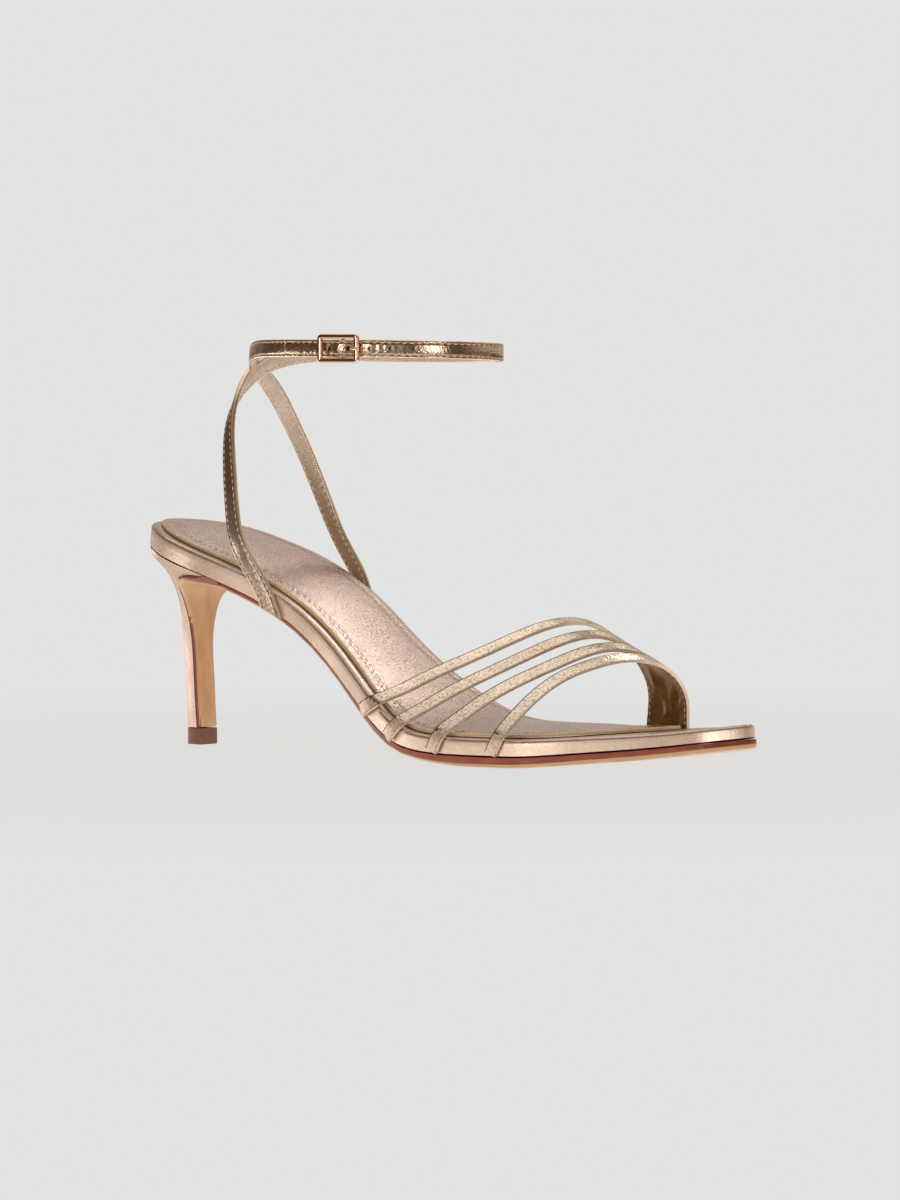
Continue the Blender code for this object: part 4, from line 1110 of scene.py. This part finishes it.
def punchHoles(piece):
    punches = bmesh.new()
    turned = Vector(buckleOut).to_track_quat("Z", "Y").to_matrix().to_4x4()
    radius = ankle["holeRadius"] * mm
    for number in ankle["holes"]:
        along = ankle["holeAt"] + number * ankle["holeSpacing"]
        spot = atBuckle(along, ankle["lift"] - bow(along))
        place = Matrix.Translation(((spot - footMiddle) * mm).tolist()) @ turned
        bmesh.ops.create_cone(punches, cap_ends=True, segments=20, radius1=radius, radius2=radius,
                              depth=ankle["holeDeep"] * mm, matrix=place)
    # the hole walls take the dark slot: painted shade inside the holes
    for face in punches.faces:
        face.material_index = 4
    mesh = bpy.data.meshes.new("punches")
    punches.to_mesh(mesh)
    punches.free()
    punch = bpy.data.objects.new("punches", mesh)
    bpy.context.scene.collection.objects.link(punch)
    change = piece.modifiers.new("holes", "BOOLEAN")
    change.object = punch
    change.solver = "EXACT"
    bpy.context.view_layer.update()
    done = bpy.data.meshes.new_from_object(piece.evaluated_get(bpy.context.evaluated_depsgraph_get()))
    piece.modifiers.clear()
    piece.data = done
    done.name = piece.name
    bpy.data.objects.remove(punch)


def makeAnkle():
    longEnd, shortEnd = ankle["seamEnds"]
    points, facings, left = longStrapPath()
    wide = ankle["wide"] - 2 * ankle["tipCorner"] * (1 - roundedEnd(left, ankle["tipCorner"]))
    strap = makeStrap("longStrap", points, facings, wide, np.full(len(points), ankle["thick"]), longEnd)
    punchHoles(strap)
    points, facings, thick = shortStrapPath()
    short = makeStrap("shortStrap", points, facings, np.full(len(points), ankle["wide"]), thick, shortEnd)
    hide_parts("ankle_straps")
    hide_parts("ankle_straps")


makeAnkle()
print("ankle straps made")


# buckle

buckle = {
    "long": 14.0,
    "tall": 8.8,
    "wall": 1.45,
    "depth": 1.6,
    "corner": 1.1,
    "cornerMore": 0.35,
    "cornerSteps": 9,
    "around": 20,
    "squareness": 0.55,    # 1 gives a round section, less a squarer one
    "lift": 3.7,
    "bar": 0.6,
    "barBend": 0.6,
    "barAround": 12,
    "prong": 0.55,
    "prongGap": 0.15,
    "prongHook": (-230.0, -10.0, 30.0),   # degrees round the bar: start, end, step
    "prongRise": ((2.1, 1.2), (ankle["holeAt"], 2.7), (4.8, 4.3)),
    "prongFlat": 6.2,
    "prongOver": 0.3,
    "prongPast": 0.2,
    "prongSteps": 60,
    "prongAround": 14,
    "tipShare": 0.35,
    "tipRound": 0.8,
}


def roundSections(radii, around):
    turned = np.linspace(0, 2 * math.pi, around, endpoint=False)
    return [[(r * math.cos(t), r * math.sin(t)) for t in turned] for r in radii]


def addBar(bm):
    # the hidden bar drops behind the strap
    half, drop, bend = (buckle["tall"] - buckle["wall"]) / 2, ankle["barLift"], buckle["barBend"]
    upper = [(0, buckle["lift"], half), (0, drop + bend, half), (0, drop, half - bend)]
    knots = [*upper, (0, drop, 0), *((along, out, -up) for along, out, up in reversed(upper))]
    points = np.array([atBuckle(*knot) for knot in knots])
    ahead = unitRows(np.gradient(points, axis=0))
    first = unitRows(np.cross(ahead, np.broadcast_to(buckleAlong, ahead.shape)))
    second = np.cross(ahead, first)
    sections = roundSections(np.full(len(knots), buckle["bar"]), buckle["barAround"])
    tubeGrid(bm, points, first, second, sections)
    fillEnds(bm)


def makeBuckle():
    long, tall = buckle["long"] - buckle["wall"], buckle["tall"] - buckle["wall"]
    corner = buckle["corner"] - buckle["wall"] / 2 + buckle["cornerMore"]
    path, side = [], []
    for number, (sx, sy) in enumerate(((1, 1), (-1, 1), (-1, -1), (1, -1))):
        for turned in np.radians(number * 90 + np.linspace(0, 90, buckle["cornerSteps"])):
            a, b = math.cos(turned), math.sin(turned)
            path.append((sx * (long / 2 - corner) + corner * a, sy * (tall / 2 - corner) + corner * b))
            side.append((a, b))
    side = np.array(side + side[:1])
    points = np.array([atBuckle(a, buckle["lift"], b) for a, b in path + path[:1]])
    sides = side[:, :1] * buckleAlong + side[:, 1:] * upright
    outs = np.broadcast_to(buckleOut, points.shape)
    section = np.array(roundSections([1.0], buckle["around"])[0])
    section = np.copysign(np.abs(section) ** buckle["squareness"], section)
    section = section * (buckle["wall"] / 2, buckle["depth"] / 2)
    bm = bmesh.new()
    tubeGrid(bm, points, sides, outs, np.broadcast_to(section, (len(points), *section.shape)))
    addBar(bm)
    piece = finishPiece("buckleFrame", bm, [buckleMetal], smoothAngle=60)
    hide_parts("buckle_frame")


def makeProng():
    ring = ankle["barRadius"] + buckle["prongGap"] + buckle["prong"]
    turns = np.radians(np.arange(*buckle["prongHook"]))
    hook = [(ring * math.cos(t), ankle["barLift"] + ring * math.sin(t)) for t in turns]
    top = buckle["lift"] + buckle["depth"] / 2 + buckle["prongOver"] + buckle["prong"]
    end = buckle["long"] / 2 + buckle["prongPast"]
    hook += [*buckle["prongRise"], (buckle["prongFlat"], top), (end, top)]
    knots = np.array([(a, b, 0.0) for a, b in hook])
    run = runOf(knots)
    smooth = smoothRead(run, knots, np.linspace(0, run[-1], buckle["prongSteps"]))
    points = np.array([atBuckle(a, b) for a, b, _ in smooth])
    left = np.linspace(run[-1], 0, buckle["prongSteps"])
    narrow = buckle["tipShare"]
    radii = buckle["prong"] * (narrow + (1 - narrow) * roundedEnd(left, buckle["tipRound"]))
    ups = np.broadcast_to(upright, points.shape)
    outs = np.cross(ups, unitRows(np.gradient(points, axis=0)))
    bm = bmesh.new()
    tubeGrid(bm, points, ups, outs, roundSections(radii, buckle["prongAround"]))
    fillEnds(bm)
    piece = finishPiece("bucklePin", bm, [buckleMetal], smoothAngle=60)
    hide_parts("buckle_prong")


makeBuckle()
makeProng()
print("buckle made")


# floor and light

studio = {
    "pale": (0.768, 0.768, 0.760),
    "floor": 3.0,
    "paper": 0.98,       # how much light the floor gives back
    "paperRough": 0.9,
    "glow": (0.88, 1.0),  # share of even tone near the shoe and far from it
    "glowReach": (0.14, 0.42),
    "backTone": (0.50, 0.45, 0.40),
    "frontTone": (0.085, 0.050, 0.028),
    "roomReach": (0.2, 0.8),
    "tableTone": (1.15, 1.12, 1.08),
    "tableReach": (0.24, 0.50),
    "panels": (
        # name, place, aim, width, height, brightness
        ("highBackPanel", (-0.09, 1.03, 1.13), (0.0, 0.0, 0.03), 0.17, 0.14, 10.5),
        ("backFillPanel", (-0.42, 1.22, 0.98), (0.0, 0.0, 0.05), 1.1, 0.24, 0.7),
        ("leftTopPanel", (-0.80, 0.30, 1.25), (0.0, 0.0, 0.03), 0.9, 0.8, 1.1),
        ("frontPanel", (-0.12, -1.45, 0.14), (0.0, 0.0, 0.10), 0.32, 0.5, 3.8),
        ("middlePanel", (0.56, -1.32, 0.14), (0.0, 0.0, 0.10), 0.34, 0.5, 0.5),
        ("rightPanel", (1.30, -0.62, 0.14), (0.0, 0.0, 0.10), 0.46, 0.5, 4.2),
        ("kerbPanel", (-0.37, -0.07, 0.028), (0.0, -0.03, 0.028), 0.5, 0.055, 3.2),
        ("overheadPanel", (0.1, -0.05, 1.5), (0.02, 0.0, 0.0), 1.5, 1.3, 0.95),
    ),
}


def mixShaders(tree, share, first, second):
    mix = addNode(tree, "ShaderNodeMixShader", Fac=share)
    tree.links.new(first, mix.inputs[1])
    tree.links.new(second, mix.inputs[2])
    return mix.outputs["Shader"]


def splitView(tree, mirrored, seen, output):
    # the camera sees one shader, mirrored and scattered light another
    path = addNode(tree, "ShaderNodeLightPath")
    mixed = mixShaders(tree, path.outputs["Is Camera Ray"], mirrored, seen)
    feed(tree, tree.nodes[output], Surface=mixed)


def makeFloor():
    bm = bmesh.new()
    bmesh.ops.create_circle(bm, cap_ends=True, segments=64, radius=studio["floor"])
    mesh = bpy.data.meshes.new("floor")
    bm.to_mesh(mesh)
    bm.free()
    floor = bpy.data.objects.new("floor", mesh)
    bpy.context.scene.collection.objects.link(floor)
    material, tree, shader = newFinish("floor_paper")
    paper = (*(studio["paper"],) * 3, 1)
    feed(tree, shader, Roughness=studio["paperRough"], **{"Base Color": paper, "Specular IOR Level": 0.0})
    coords = addNode(tree, "ShaderNodeTexCoord")
    length = addNode(tree, "ShaderNodeVectorMath", operation="LENGTH", Vector=coords.outputs["Object"])
    away = length.outputs["Value"]
    # seen by the camera: paper near the shoe, an even tone far from it
    glow = addNode(tree, "ShaderNodeEmission", Color=(*studio["pale"], 1), Strength=1.0)
    fade = between(tree, away, *studio["glow"], *studio["glowReach"], kind="SMOOTHSTEP")
    seen = mixShaders(tree, fade, shader.outputs["BSDF"], glow.outputs["Emission"])
    # mirrored in the shoe: a pale table that ends in a dim room
    table = ramp(tree, away, studio["tableTone"], studio["frontTone"], *studio["tableReach"])
    mirrored = addNode(tree, "ShaderNodeEmission", Color=table)
    splitView(tree, mirrored.outputs["Emission"], seen, "Material Output")
    mesh.materials.append(material)


def makeLights():
    for name, place, aim, width, height, bright in studio["panels"]:
        panel = bpy.data.lights.new(name, "AREA")
        panel.shape = "RECTANGLE"
        panel.size = width
        panel.size_y = height
        panel.energy = bright * math.pi * width * height
        holder = bpy.data.objects.new(name, panel)
        holder.location = place
        holder.rotation_euler = (Vector(aim) - Vector(place)).to_track_quat("-Z", "Y").to_euler()
        holder.visible_camera = False
        bpy.context.scene.collection.objects.link(holder)
    world = bpy.data.worlds.new("studio")
    bpy.context.scene.world = world
    world.use_nodes = True
    tree = world.node_tree
    # the room is pale behind the shoe and dim behind the camera
    coords = addNode(tree, "ShaderNodeTexCoord")
    across = addNode(tree, "ShaderNodeSeparateXYZ", Vector=coords.outputs["Generated"])
    depth = between(tree, across.outputs["Y"], 0.0, 1.0, *studio["roomReach"])
    tone = ramp(tree, depth, studio["frontTone"], studio["backTone"], 0.0, 1.0)
    room = feed(tree, tree.nodes["Background"], Color=tone)
    pale = addNode(tree, "ShaderNodeBackground", Color=(*studio["pale"], 1))
    splitView(tree, room.outputs["Background"], pale.outputs["Background"], "World Output")


makeFloor()
makeLights()
bpy.context.scene.view_settings.view_transform = "Standard"
print("stage made")
